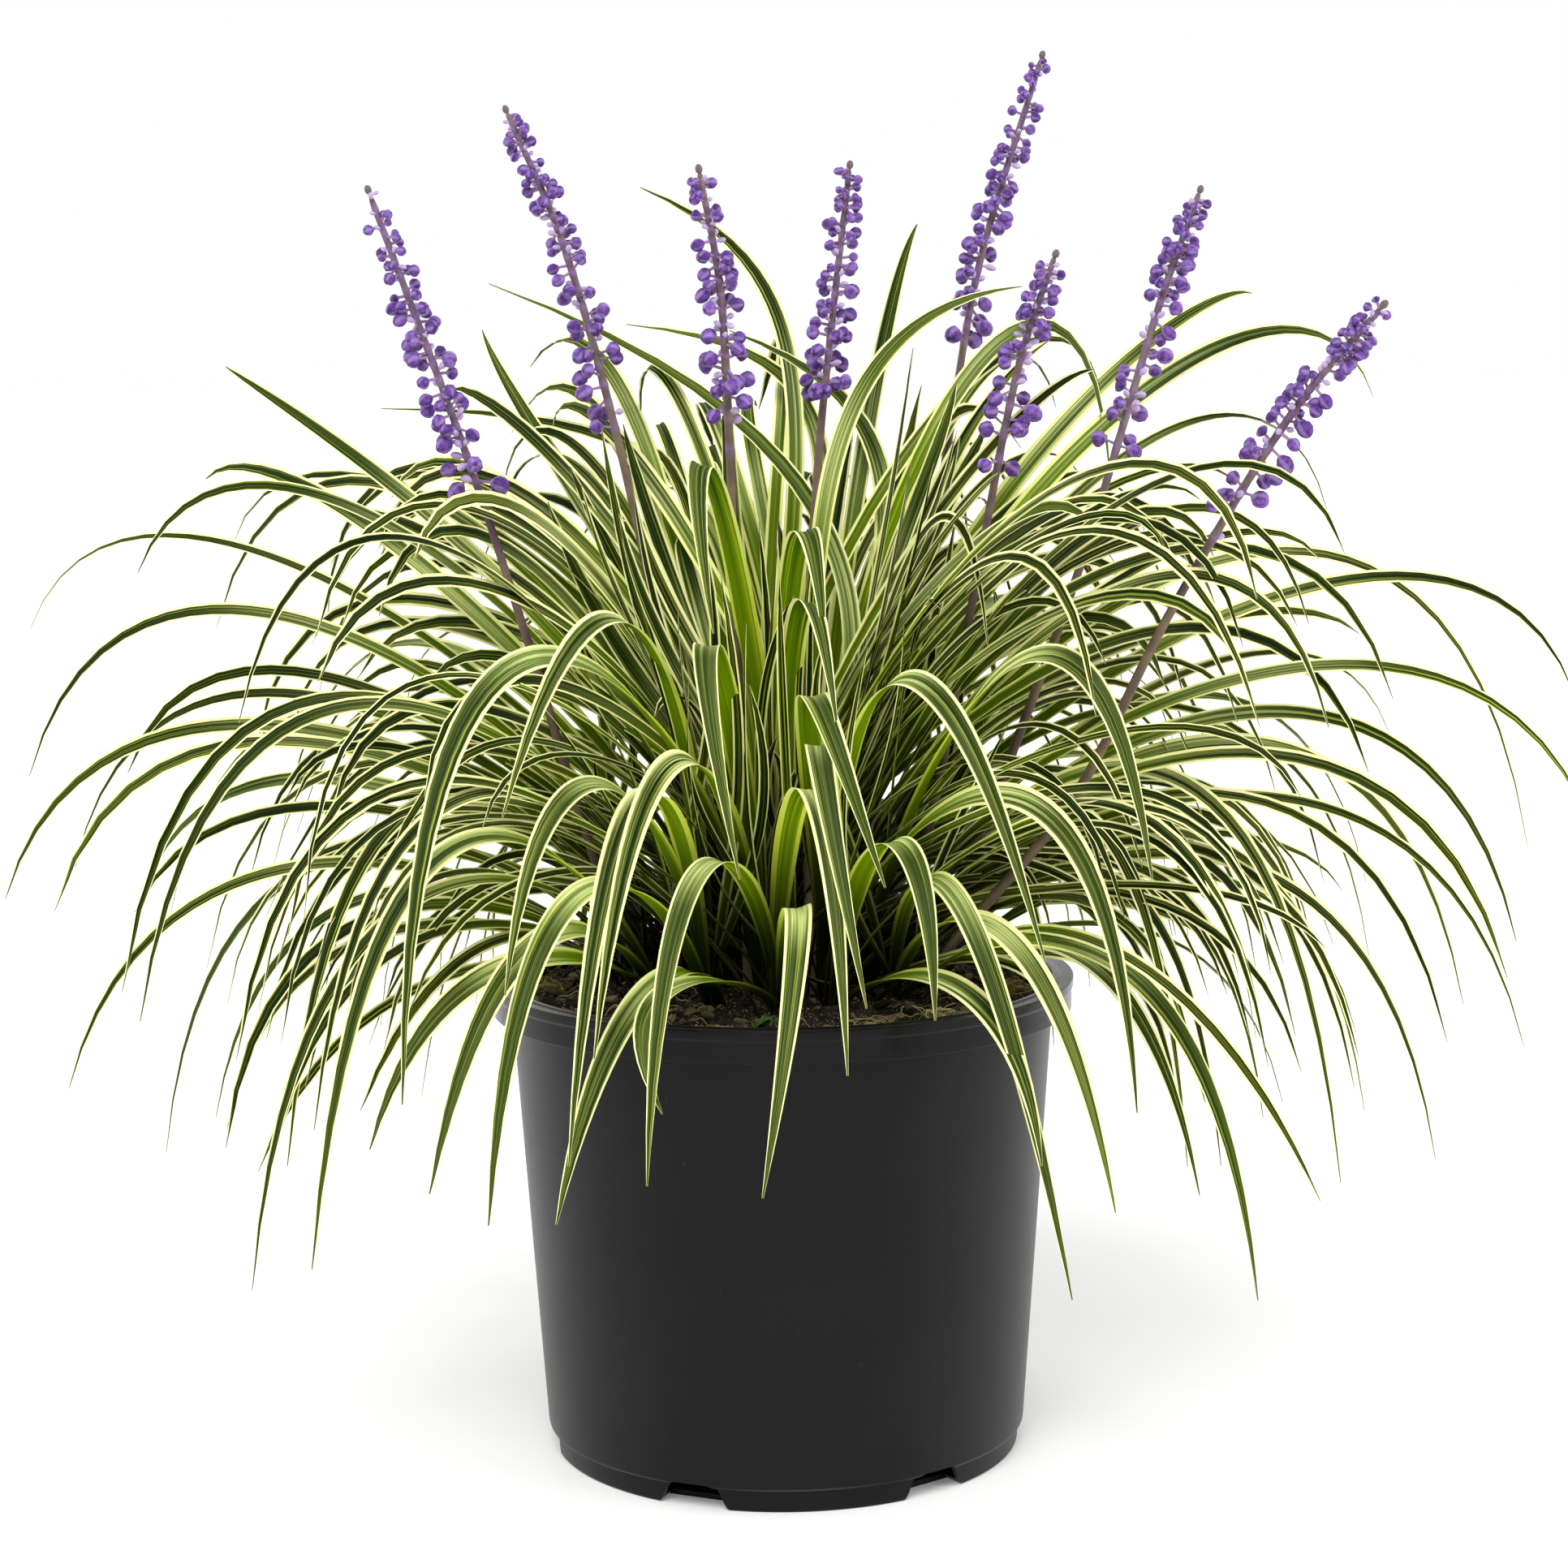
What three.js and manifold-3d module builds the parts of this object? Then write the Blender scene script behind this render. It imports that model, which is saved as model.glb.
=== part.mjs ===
import * as THREE from 'three';
import { mergeVertices } from 'three/addons/utils/BufferGeometryUtils.js';
import Module from 'manifold-3d';

const wasm = await Module();
wasm.setup();

// Driving dimensions, in millimetres and degrees. The pot stands on z = 0 with its axis on
// the Z axis.
const degree = Math.PI / 180;

// The pot: a tapered wall on a smaller foot ring, under a rim with a beaded edge and a skirt.
const potHeight = 229;
const potSides = 40;
const rimRadius = 140;
const rimBead = 5;
const beadProud = 0.8;
const rimThickness = 1.8;
const rimDepth = 3;
const skirtDrop = 15;
const wallTopRadius = 130.5;
const wallTopHeight = 223;
const wallFootRadius = 116;
const wallFootHeight = 12.5;
const wallThickness = 1.8;
const floorThickness = 2.5;
const ringRadius = 113;
const ringHeight = 10.5;
const edgeRound = 1.5;

// The drain slots are cut up through the foot ring into the wall.
const slotCount = 6;
const slotStart = 7.5;
const slotHeight = 12;
const slotFootWidth = 34;
const slotTopWidth = 22.5;
const slotDepth = 32;
const slotInset = 13;

const mixEdgeHeight = 221;
const mixDome = 5;
const mixChamfer = 17;
const clearance = 0.4;
const mixWallGap = 0.3;
const pocketRise = 20;

// The plug is the short crown that each shoot's leaves grow from.
const plugRadius = 4.6;
const plugTopRadius = 3.4;
const plugDepth = 12;
const plugRise = 10;
const plugSides = 6;

// A leaf widens over its foot part and narrows over its tip part, both shares of its length.
const leafWidth = 9;
const leafThickness = 1.1;
const leafSteps = 6;
const leafFootPart = 0.35;
const leafFootNarrowing = 0.5;
const leafTipPart = 0.5;
const leafTipNarrowing = 0.94;
const leafTipBow = 1.7;
const leafTipThinning = 0.6;
const leafSink = 5;

const stemFootRadius = 2.8;
const stemTipRadius = 1.0;
const stemSteps = 9;
const stemSides = 6;
const stemPocketRoom = 1.2;
const whorlRadius = 11;
const whorlGapRadius = 5;
const whorlPitch = 24;
const whorlTaper = 0.45;
const flowersEnd = 0.985;
const flowerClearance = 0.9;

const potPlastic = { color: 0x2b2b2d, roughness: 0.55, metalness: 0 };
const darkMix = { color: 0x241a12, roughness: 0.95, metalness: 0 };
const leafGreen = { color: 0x6d8a3a, roughness: 0.5, metalness: 0 };
const stemBrown = { color: 0x6e5560, roughness: 0.6, metalness: 0 };
const flowerViolet = { color: 0x6e50a0, roughness: 0.55, metalness: 0 };

// Every shoot of the clump: its foot's azimuth (0 is +X, 90 is +Y) and distance from the
// pot's axis, then its leaves. A leaf is its tip's azimuth, the reach from the axis and the
// height of its middle, and the reach and height of its tip. Where there is a sixth number the
// middle is that many degrees round from the tip.
const shoots = [
  { azimuth: 268, reach: 66, leaves: [[269, 135, 282, 245, 182, 4], [257, 119, 296, 238, 184, 4],
    [276, 112, 315, 226, 228, -4], [258, 131, 249, 227, 212, -4]] },
  { azimuth: 240, reach: 66, leaves: [[248, 117, 250, 242, 166], [240, 156, 294, 246, 163],
    [247, 132, 327, 241, 191], [235, 130, 329, 213, 254, 3]] },
  { azimuth: 212, reach: 68, leaves: [[212, 150, 288, 277, 117], [231, 164, 270, 240, 170],
    [222, 190, 311, 272, 136], [226, 172, 257, 252, 188]] },
  { azimuth: 181, reach: 70, leaves: [[186, 165, 257, 266, 162], [173, 180, 267, 284, 152],
    [196, 205, 293, 337, 196], [200, 160, 324, 243, 157]] },
  { azimuth: 151, reach: 68, leaves: [[165, 201, 284, 328, 122], [158, 222, 312, 364, 233],
    [146, 190, 296, 300, 165], [138, 165, 270, 262, 130]] },
  { azimuth: 119, reach: 66, leaves: [[128, 185, 300, 305, 175], [118, 160, 275, 255, 140],
    [108, 175, 312, 290, 210]] },
  { azimuth: 87, reach: 66, leaves: [[98, 160, 290, 270, 160], [86, 175, 305, 295, 180],
    [76, 150, 270, 245, 130]] },
  { azimuth: 55, reach: 66, leaves: [[66, 170, 300, 285, 190], [54, 165, 280, 265, 145],
    [44, 190, 315, 310, 205]] },
  { azimuth: 22, reach: 68, leaves: [[10, 195, 300, 263, 233], [17, 205, 338, 315, 215],
    [2, 190, 284, 319, 131], [32, 200, 300, 300, 160]] },
  { azimuth: 349, reach: 70, leaves: [[344, 160, 281, 213, 147], [353, 175, 272, 230, 162],
    [349, 160, 299, 277, 169], [328, 158, 253, 221, 148]] },
  { azimuth: 318, reach: 68, leaves: [[322, 170, 259, 260, 111], [303, 120, 289, 227, 122],
    [308, 130, 272, 235, 159]] },
  { azimuth: 293, reach: 66, leaves: [[288, 128, 306, 211, 246, 2], [298, 151, 249, 225, 182],
    [277, 112, 331, 230, 257, 3]] },
  { azimuth: 256, reach: 42, leaves: [[250, 116, 339, 228, 234, 4], [236, 140, 385, 278, 219],
    [266, 87, 358, 199, 306, -10]] },
  { azimuth: 299, reach: 42, leaves: [[299, 103, 357, 228, 270, -8], [282, 91, 345, 203, 302, -3],
    [313, 142, 328, 227, 198]] },
  { azimuth: 338, reach: 42, leaves: [[338, 150, 313, 200, 149], [346, 180, 330, 267, 139],
    [355, 205, 315, 352, 196], [317, 156, 390, 217, 296]] },
  { azimuth: 12, reach: 42, leaves: [[6, 215, 336, 339, 202], [359, 215, 352, 352, 242],
    [12, 215, 371, 312, 335], [22, 200, 350, 330, 250]] },
  { azimuth: 64, reach: 42, leaves: [[72, 180, 370, 310, 260], [58, 200, 390, 330, 290],
    [48, 185, 345, 320, 235]] },
  { azimuth: 113, reach: 42, leaves: [[122, 190, 385, 325, 280], [110, 170, 355, 300, 240],
    [96, 185, 395, 315, 300]] },
  { azimuth: 164, reach: 42, leaves: [[168, 235, 360, 363, 272], [154, 215, 348, 366, 225],
    [183, 220, 350, 368, 272], [143, 210, 375, 345, 270]] },
  { azimuth: 206, reach: 42, leaves: [[208, 190, 369, 316, 238], [190, 225, 404, 349, 336],
    [217, 160, 330, 255, 190], [236, 96, 382, 199, 328, 1]] },
  { azimuth: 266, reach: 20, leaves: [[259, 74, 436, 153, 405, -6], [280, 78, 383, 173, 364, -5],
    [276, 70, 406, 151, 398, -3]] },
  { azimuth: 338, reach: 20, leaves: [[352, 235, 375, 384, 291], [327, 88, 447, 115, 391, -2],
    [333, 175, 418, 271, 359], [345, 160, 440, 250, 400], [10, 62, 404, 119, 555, -84],
    [17, 26, 273, 141, 530, -30], [118, 55, 408, 46, 536, -90]] },
  { azimuth: 50, reach: 20, leaves: [[38, 175, 480, 323, 555], [30, 205, 473, 334, 441],
    [14, 230, 423, 394, 271], [22, 190, 500, 330, 500], [42, 81, 525, 97, 587, 7],
    [4, 262, 412, 387, 356]] },
  { azimuth: 122, reach: 20, leaves: [[139, 11, 285, 194, 562, -89], [119, 73, 458, 137, 609, -36],
    [152, 100, 440, 166, 538], [125, 150, 450, 270, 420], [133, 73, 425, 109, 540, -58]] },
  { azimuth: 194, reach: 20, leaves: [[177, 155, 440, 261, 521], [184, 205, 455, 267, 469],
    [213, 170, 437, 274, 368], [170, 265, 433, 379, 393], [199, 190, 450, 300, 430],
    [163, 90, 397, 203, 500, -59]] },
];

// The flower stems: the foot as x and y, points up to the tip as x, y and z, and the height
// where the flowers begin.
const spikes = [
  { flowersFrom: 468, foot: [-68, -20],
    path: [[-88, -31, 292], [-115, -49, 393], [-140, -56, 477], [-181, -64, 597]] },
  { flowersFrom: 491, foot: [-28, 8],
    path: [[-50, 14, 357], [-77, 26, 488], [-103, 40, 582], [-128, 48, 641]] },
  { flowersFrom: 481, foot: [-16, -28],
    path: [[-19, -45, 374], [-22, -61, 503], [-25, -69, 557], [-33, -75, 604]] },
  { flowersFrom: 505, foot: [14, -26],
    path: [[12, -10, 351], [20, 10, 477], [27, 19, 540], [36, 30, 612]] },
  { flowersFrom: 530, foot: [34, 44],
    path: [[56, 64, 350], [82, 78, 463], [101, 88, 566], [133, 98, 669]] },
  { flowersFrom: 475, foot: [54, -4],
    path: [[71, -5, 299], [90, -22, 404], [112, -42, 521], [126, -58, 566]] },
  { flowersFrom: 480, foot: [72, -6],
    path: [[111, -6, 336], [144, 6, 423], [185, 34, 548], [205, 48, 600]] },
  { flowersFrom: 442, foot: [72, -38],
    path: [[134, -60, 319], [177, -83, 409], [228, -108, 499], [262, -120, 541]] },
];

// A closed geometry becomes a solid once its shared vertices are merged.
function toSolid(geometry) {
  const plain = geometry.clone();
  plain.deleteAttribute('normal');
  plain.deleteAttribute('uv');
  const merged = mergeVertices(plain, 1e-4);
  return new wasm.Manifold(new wasm.Mesh({
    numProp: 3,
    vertProperties: merged.attributes.position.array,
    triVerts: new Uint32Array(merged.index.array),
  }));
}

function toGeometry(solid) {
  const mesh = solid.getMesh();
  const geometry = new THREE.BufferGeometry();
  geometry.setAttribute('position', new THREE.BufferAttribute(mesh.vertProperties, 3));
  geometry.setIndex(new THREE.BufferAttribute(mesh.triVerts, 1));
  geometry.computeVertexNormals();
  return geometry;
}

function join(geometries) {
  return geometries.map(toSolid).reduce((whole, piece) => whole.add(piece));
}

function named(name, geometry, look) {
  const mesh = new THREE.Mesh(geometry, new THREE.MeshStandardMaterial(look));
  mesh.name = name;
  return mesh;
}

// A profile of radius and height turned round the Z axis.
function turned(profile, sides) {
  const geometry = new THREE.LatheGeometry(profile.map(([r, z]) => new THREE.Vector2(r, z)), sides);
  geometry.rotateX(Math.PI / 2);
  return geometry;
}

// An upright cylinder, widening from its foot to its top where the two radii differ.
function post(footRadius, topRadius, height, sides) {
  const geometry = new THREE.CylinderGeometry(topRadius, footRadius, height, sides);
  geometry.rotateX(Math.PI / 2);
  geometry.translate(0, 0, height / 2);
  return geometry;
}

function polar(azimuth, reach, height) {
  const turn = azimuth * degree;
  return new THREE.Vector3(reach * Math.cos(turn), reach * Math.sin(turn), height);
}

function mixHeight(reach) {
  return mixEdgeHeight + mixDome * (1 - (reach / wallTopRadius) ** 2);
}

// Lays a geometry that stands along Z from 0 to 1 on a curve. Its x runs along the
// curve's side and its y across it, both scaled where the geometry is placed.
function layAlong(geometry, curve, across, scaleAt) {
  const place = geometry.attributes.position;
  const side = new THREE.Vector3();
  const front = new THREE.Vector3();
  for (let i = 0; i < place.count; i++) {
    const along = THREE.MathUtils.clamp(place.getZ(i), 0, 1);
    const tangent = curve.getTangent(along);
    front.crossVectors(across, tangent).normalize();
    side.crossVectors(front, tangent);
    const [wide, deep] = scaleAt(along);
    const point = curve.getPoint(along);
    point.addScaledVector(side, place.getX(i) * wide);
    point.addScaledVector(front, place.getY(i) * deep);
    place.setXYZ(i, point.x, point.y, point.z);
  }
  return geometry;
}

// The arch of a leaf: a cubic curve that rises from its foot, passes its middle point and
// ends at its tip. Its middle's share of the reach sets when it is passed: from 0.15 of the
// way for a middle over the foot to 0.885 for one over the tip. A near middle is risen to
// steeply, to 1.45 of its height, and a far one slowly, to 0.2 of it.
function leafCurve(foot, middle, tip) {
  const inner = Math.hypot(middle.x - foot.x, middle.y - foot.y);
  const outer = Math.hypot(tip.x - middle.x, tip.y - middle.y);
  const share = inner / (inner + outer);
  const when = THREE.MathUtils.lerp(0.15, 0.885, share);
  const steepness = THREE.MathUtils.lerp(1.45, 0.2, share);
  const rise = foot.clone().lerp(middle, 0.2);
  rise.z = foot.z + steepness * (middle.z - foot.z);
  const fall = middle.clone();
  fall.addScaledVector(foot, -((1 - when) ** 3));
  fall.addScaledVector(rise, -3 * when * (1 - when) ** 2);
  fall.addScaledVector(tip, -(when ** 3));
  fall.divideScalar(3 * when ** 2 * (1 - when));
  return new THREE.CubicBezierCurve3(foot, rise, fall, tip);
}

// A unit rod from 0 to 1 on Z, in steps that let it bend.
function rod(sides, steps) {
  const geometry = new THREE.CylinderGeometry(1, 1, 1, sides, steps);
  geometry.rotateX(Math.PI / 2);
  geometry.translate(0, 0, 0.5);
  return geometry;
}

// A leaf blade is a strap with a keeled underside that narrows at its foot and to its tip.
// A three-sided unit rod is 2 cos 30 degrees wide and 1.5 deep.
function blade(curve) {
  const strap = rod(3, leafSteps).rotateZ(Math.PI);
  const travel = curve.v3.clone().sub(curve.v0).setZ(0).normalize();
  const across = new THREE.Vector3(-travel.y, travel.x, 0);
  const wide = leafWidth / (2 * Math.cos(30 * degree));
  const deep = leafThickness / 1.5;
  return layAlong(strap, curve, across, (along) => {
    const opening = THREE.MathUtils.smoothstep(along, 0, leafFootPart);
    const foot = THREE.MathUtils.lerp(1 - leafFootNarrowing, 1, opening);
    const end = Math.max(0, (along - leafTipPart) / (1 - leafTipPart));
    const tip = 1 - leafTipNarrowing * end ** leafTipBow;
    return [wide * foot * tip, deep * (1 - leafTipThinning * end)];
  });
}

function makeShoot(shoot) {
  const ground = mixHeight(shoot.reach);
  const foot = polar(shoot.azimuth, shoot.reach, ground);
  const plug = post(plugRadius, plugTopRadius, plugDepth + plugRise, plugSides);
  plug.translate(foot.x, foot.y, ground - plugDepth);
  const start = foot.clone().setZ(ground + plugRise - leafSink);
  const blades = shoot.leaves.map((leaf) => {
    const [azimuth, midReach, midHeight, tipReach, tipHeight, lean = 0] = leaf;
    const tip = polar(azimuth, tipReach, tipHeight);
    const middle = polar(azimuth + lean, midReach, midHeight);
    return blade(leafCurve(start.clone(), middle, tip));
  });
  return join([plug, ...blades]);
}

// A stem stands upright where it leaves the mix, then bends to its path.
function stemCurve({ foot, path }) {
  const ground = mixHeight(Math.hypot(...foot));
  const route = [[...foot, ground - plugDepth], [...foot, ground + plugRise], ...path];
  const points = route.map((point) => new THREE.Vector3(...point));
  return new THREE.CatmullRomCurve3(points, false, 'centripetal');
}

const stemAcross = new THREE.Vector3(0, 1, 0);

function stemRadius(along) {
  return THREE.MathUtils.lerp(stemFootRadius, stemTipRadius, along);
}

function makeStem(spike) {
  const stem = rod(stemSides, stemSteps);
  return toSolid(layAlong(stem, stemCurve(spike), stemAcross, (along) => {
    return [stemRadius(along), stemRadius(along)];
  }));
}

// The flowers are one sleeve round the upper stem, wide at each whorl and narrow between.
function makeFlowers(spike) {
  const curve = stemCurve(spike);
  let first = 0;
  while (curve.getPoint(first).z < spike.flowersFrom) {
    first += 0.005;
  }
  const length = curve.getPoint(first).distanceTo(curve.getPoint(flowersEnd));
  const whorls = Math.round(length / whorlPitch);
  const profile = [];
  for (let i = 0; i <= 2 * whorls; i++) {
    const share = i / (2 * whorls);
    const swell = i % 2 ? whorlRadius : whorlGapRadius;
    const along = THREE.MathUtils.lerp(first, flowersEnd, share);
    profile.push([swell * (1 - whorlTaper * share), along]);
  }
  for (let i = stemSteps; i >= 0; i--) {
    const along = THREE.MathUtils.lerp(first, flowersEnd, i / stemSteps);
    profile.push([stemRadius(along) + flowerClearance, along]);
  }
  profile.push(profile[0]);
  const sleeve = turned(profile, stemSides);
  return toSolid(layAlong(sleeve, curve, stemAcross, () => [1, 1]));
}

function makePot() {
  const skirtRadius = rimRadius - beadProud;
  const ringInside = ringRadius - wallThickness - 1;
  const shell = turned([
    [0, 0],
    [ringRadius - edgeRound, 0],
    [ringRadius, edgeRound],
    [ringRadius, ringHeight],
    [wallFootRadius - 0.5, ringHeight + 0.5],
    [wallFootRadius, wallFootHeight],
    [wallTopRadius, wallTopHeight],
    [wallTopRadius + 2, potHeight - rimDepth],
    [skirtRadius - rimThickness, potHeight - rimDepth],
    [skirtRadius - rimThickness, potHeight - skirtDrop],
    [skirtRadius, potHeight - skirtDrop],
    [skirtRadius, potHeight - rimBead],
    [rimRadius, potHeight - rimBead + beadProud],
    [rimRadius, potHeight - edgeRound],
    [rimRadius - edgeRound, potHeight],
    [wallTopRadius + 0.6, potHeight],
    [wallTopRadius - wallThickness, potHeight - 4],
    [wallFootRadius - wallThickness, ringHeight + 1],
    [ringInside, ringHeight - 1],
    [ringInside, floorThickness],
    [0, floorThickness],
  ], potSides);
  const outline = new THREE.Shape([
    new THREE.Vector2(-slotFootWidth / 2, -1),
    new THREE.Vector2(slotFootWidth / 2, -1),
    new THREE.Vector2(slotTopWidth / 2, slotHeight),
    new THREE.Vector2(-slotTopWidth / 2, slotHeight),
  ]);
  let pot = toSolid(shell);
  for (let i = 0; i < slotCount; i++) {
    const slot = new THREE.ExtrudeGeometry(outline, { depth: slotDepth, bevelEnabled: false });
    slot.rotateX(Math.PI / 2);
    slot.translate(0, ringRadius - slotInset + slotDepth, 0);
    slot.rotateZ((slotStart - 90 + i * 360 / slotCount) * degree);
    pot = pot.subtract(toSolid(slot));
  }
  return pot;
}

// The potting mix fills the pot to a little below its rim, with a pocket for each foot.
function makeMix(feet) {
  const inner = wallThickness + clearance + mixWallGap;
  const bottom = floorThickness + clearance;
  const slope = (wallTopRadius - wallFootRadius) / (wallTopHeight - wallFootHeight);
  const radiusAt = (height) => wallFootRadius - inner + slope * (height - wallFootHeight);
  const edgeRadius = radiusAt(mixEdgeHeight);
  const shoulder = bottom + mixChamfer;
  const profile = [
    [0, bottom],
    [ringRadius - inner - mixChamfer, bottom],
    [radiusAt(shoulder), shoulder],
    [edgeRadius, mixHeight(edgeRadius)],
  ];
  for (const reach of [100, 60, 0]) {
    profile.push([reach, mixHeight(reach)]);
  }
  const depth = plugDepth + clearance;
  const pockets = feet.map(({ x, y, radius }) => {
    const pocket = post(radius, radius, depth + pocketRise, plugSides);
    pocket.translate(x, y, mixHeight(Math.hypot(x, y)) - depth);
    return pocket;
  });
  return toSolid(turned(profile, potSides)).subtract(join(pockets));
}

const feet = shoots.map(({ azimuth, reach }) => {
  const { x, y } = polar(azimuth, reach, 0);
  return { x, y, radius: plugRadius + clearance };
});
for (const { foot: [x, y] } of spikes) {
  feet.push({ x, y, radius: stemFootRadius + stemPocketRoom + clearance });
}

const group = new THREE.Group();
group.add(named('nursery_pot', toGeometry(makePot()), potPlastic));
group.add(named('potting_mix', toGeometry(makeMix(feet)), darkMix));
shoots.forEach((shoot, i) => {
  const name = `leaf_shoot_${String(i + 1).padStart(2, '0')}`;
  group.add(named(name, toGeometry(makeShoot(shoot)), leafGreen));
});
spikes.forEach((spike, i) => {
  group.add(named(`flower_stem_${i + 1}`, toGeometry(makeStem(spike)), stemBrown));
  group.add(named(`flower_cluster_${i + 1}`, toGeometry(makeFlowers(spike)), flowerViolet));
});

export default group;
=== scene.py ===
import math

import bpy
import numpy as np
from mathutils import Matrix


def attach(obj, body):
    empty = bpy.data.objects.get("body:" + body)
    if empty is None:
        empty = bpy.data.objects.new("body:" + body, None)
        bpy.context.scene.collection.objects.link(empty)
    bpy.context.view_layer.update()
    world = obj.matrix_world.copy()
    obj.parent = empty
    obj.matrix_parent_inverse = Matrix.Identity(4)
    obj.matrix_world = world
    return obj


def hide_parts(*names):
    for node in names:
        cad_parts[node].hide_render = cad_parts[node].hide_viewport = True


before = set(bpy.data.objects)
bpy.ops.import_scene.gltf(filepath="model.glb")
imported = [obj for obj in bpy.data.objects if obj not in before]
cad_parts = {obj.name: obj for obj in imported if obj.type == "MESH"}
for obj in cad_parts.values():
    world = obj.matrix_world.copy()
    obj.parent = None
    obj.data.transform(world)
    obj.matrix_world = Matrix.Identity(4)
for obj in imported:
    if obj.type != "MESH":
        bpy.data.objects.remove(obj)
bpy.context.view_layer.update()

mm = 0.001
upward = np.array([0, 0, 1.0])

# The same clump as the CAD frame, in its millimetres and degrees. A shoot has the azimuth and reach
# of its foot, and each of its main leaves is a tip azimuth, the reach and height of its middle, the
# reach and height of its tip, and at times the degrees its middle is round from the tip.
shoots = [
    dict(azimuth=268, reach=66, leaves=[
        [269, 135, 282, 245, 182, 4], [257, 119, 296, 238, 184, 4], [276, 112, 315, 226, 228, -4],
        [258, 131, 249, 227, 212, -4]]),
    dict(azimuth=240, reach=66, leaves=[
        [248, 117, 250, 242, 166], [240, 156, 294, 246, 163], [247, 132, 327, 241, 191],
        [235, 130, 329, 213, 254, 3]]),
    dict(azimuth=212, reach=68, leaves=[
        [212, 150, 288, 277, 117], [231, 164, 270, 240, 170], [222, 190, 311, 272, 136],
        [226, 172, 257, 252, 188]]),
    dict(azimuth=181, reach=70, leaves=[
        [186, 165, 257, 266, 162], [173, 180, 267, 284, 152], [196, 205, 293, 337, 196],
        [200, 160, 324, 243, 157]]),
    dict(azimuth=151, reach=68, leaves=[
        [165, 201, 284, 328, 122], [158, 222, 312, 364, 233], [146, 190, 296, 300, 165],
        [138, 165, 270, 262, 130]]),
    dict(azimuth=119, reach=66, leaves=[
        [128, 185, 300, 305, 175], [118, 160, 275, 255, 140], [108, 175, 312, 290, 210]]),
    dict(azimuth=87, reach=66, leaves=[
        [98, 160, 290, 270, 160], [86, 175, 305, 295, 180], [76, 150, 270, 245, 130]]),
    dict(azimuth=55, reach=66, leaves=[
        [66, 170, 300, 285, 190], [54, 165, 280, 265, 145], [44, 190, 315, 310, 205]]),
    dict(azimuth=22, reach=68, leaves=[
        [10, 195, 300, 263, 233], [17, 205, 338, 315, 215], [2, 190, 284, 319, 131],
        [32, 200, 300, 300, 160]]),
    dict(azimuth=349, reach=70, leaves=[
        [344, 160, 281, 213, 147], [353, 175, 272, 230, 162], [349, 160, 299, 277, 169],
        [328, 158, 253, 221, 148]]),
    dict(azimuth=318, reach=68, leaves=[
        [322, 170, 259, 260, 111], [303, 120, 289, 227, 122], [308, 130, 272, 235, 159]]),
    dict(azimuth=293, reach=66, leaves=[
        [288, 128, 306, 211, 246, 2], [298, 151, 249, 225, 182], [277, 112, 331, 230, 257, 3]]),
    dict(azimuth=256, reach=42, leaves=[
        [250, 116, 339, 228, 234, 4], [236, 140, 385, 278, 219], [266, 87, 358, 199, 306, -10]]),
    dict(azimuth=299, reach=42, leaves=[
        [299, 103, 357, 228, 270, -8], [282, 91, 345, 203, 302, -3], [313, 142, 328, 227, 198]]),
    dict(azimuth=338, reach=42, leaves=[
        [338, 150, 313, 200, 149], [346, 180, 330, 267, 139], [355, 205, 315, 352, 196],
        [317, 156, 390, 217, 296]]),
    dict(azimuth=12, reach=42, leaves=[
        [6, 215, 336, 339, 202], [359, 215, 352, 352, 242], [12, 215, 371, 312, 335],
        [22, 200, 350, 330, 250]]),
    dict(azimuth=64, reach=42, leaves=[
        [72, 180, 370, 310, 260], [58, 200, 390, 330, 290], [48, 185, 345, 320, 235]]),
    dict(azimuth=113, reach=42, leaves=[
        [122, 190, 385, 325, 280], [110, 170, 355, 300, 240], [96, 185, 395, 315, 300]]),
    dict(azimuth=164, reach=42, leaves=[
        [168, 235, 360, 363, 272], [154, 215, 348, 366, 225], [183, 220, 350, 368, 272],
        [143, 210, 375, 345, 270]]),
    dict(azimuth=206, reach=42, leaves=[
        [208, 190, 369, 316, 238], [190, 225, 404, 349, 336], [217, 160, 330, 255, 190],
        [236, 96, 382, 199, 328, 1]]),
    dict(azimuth=266, reach=20, leaves=[
        [259, 74, 436, 153, 405, -6], [280, 78, 383, 173, 364, -5], [276, 70, 406, 151, 398, -3]]),
    dict(azimuth=338, reach=20, leaves=[
        [352, 235, 375, 384, 291], [327, 88, 447, 115, 391, -2], [333, 175, 418, 271, 359],
        [345, 160, 440, 250, 400], [10, 62, 404, 119, 555, -84], [17, 26, 273, 141, 530, -30],
        [118, 55, 408, 46, 536, -90]]),
    dict(azimuth=50, reach=20, leaves=[
        [38, 175, 480, 323, 555], [30, 205, 473, 334, 441], [14, 230, 423, 394, 271],
        [22, 190, 500, 330, 500], [42, 81, 525, 97, 587, 7], [4, 262, 412, 387, 356]]),
    dict(azimuth=122, reach=20, leaves=[
        [139, 11, 285, 194, 562, -89], [119, 73, 458, 137, 609, -36], [152, 100, 440, 166, 538],
        [125, 150, 450, 270, 420], [133, 73, 425, 109, 540, -58]]),
    dict(azimuth=194, reach=20, leaves=[
        [177, 155, 440, 261, 521], [184, 205, 455, 267, 469], [213, 170, 437, 274, 368],
        [170, 265, 433, 379, 393], [199, 190, 450, 300, 430], [163, 90, 397, 203, 500, -59]]),
]

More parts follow.
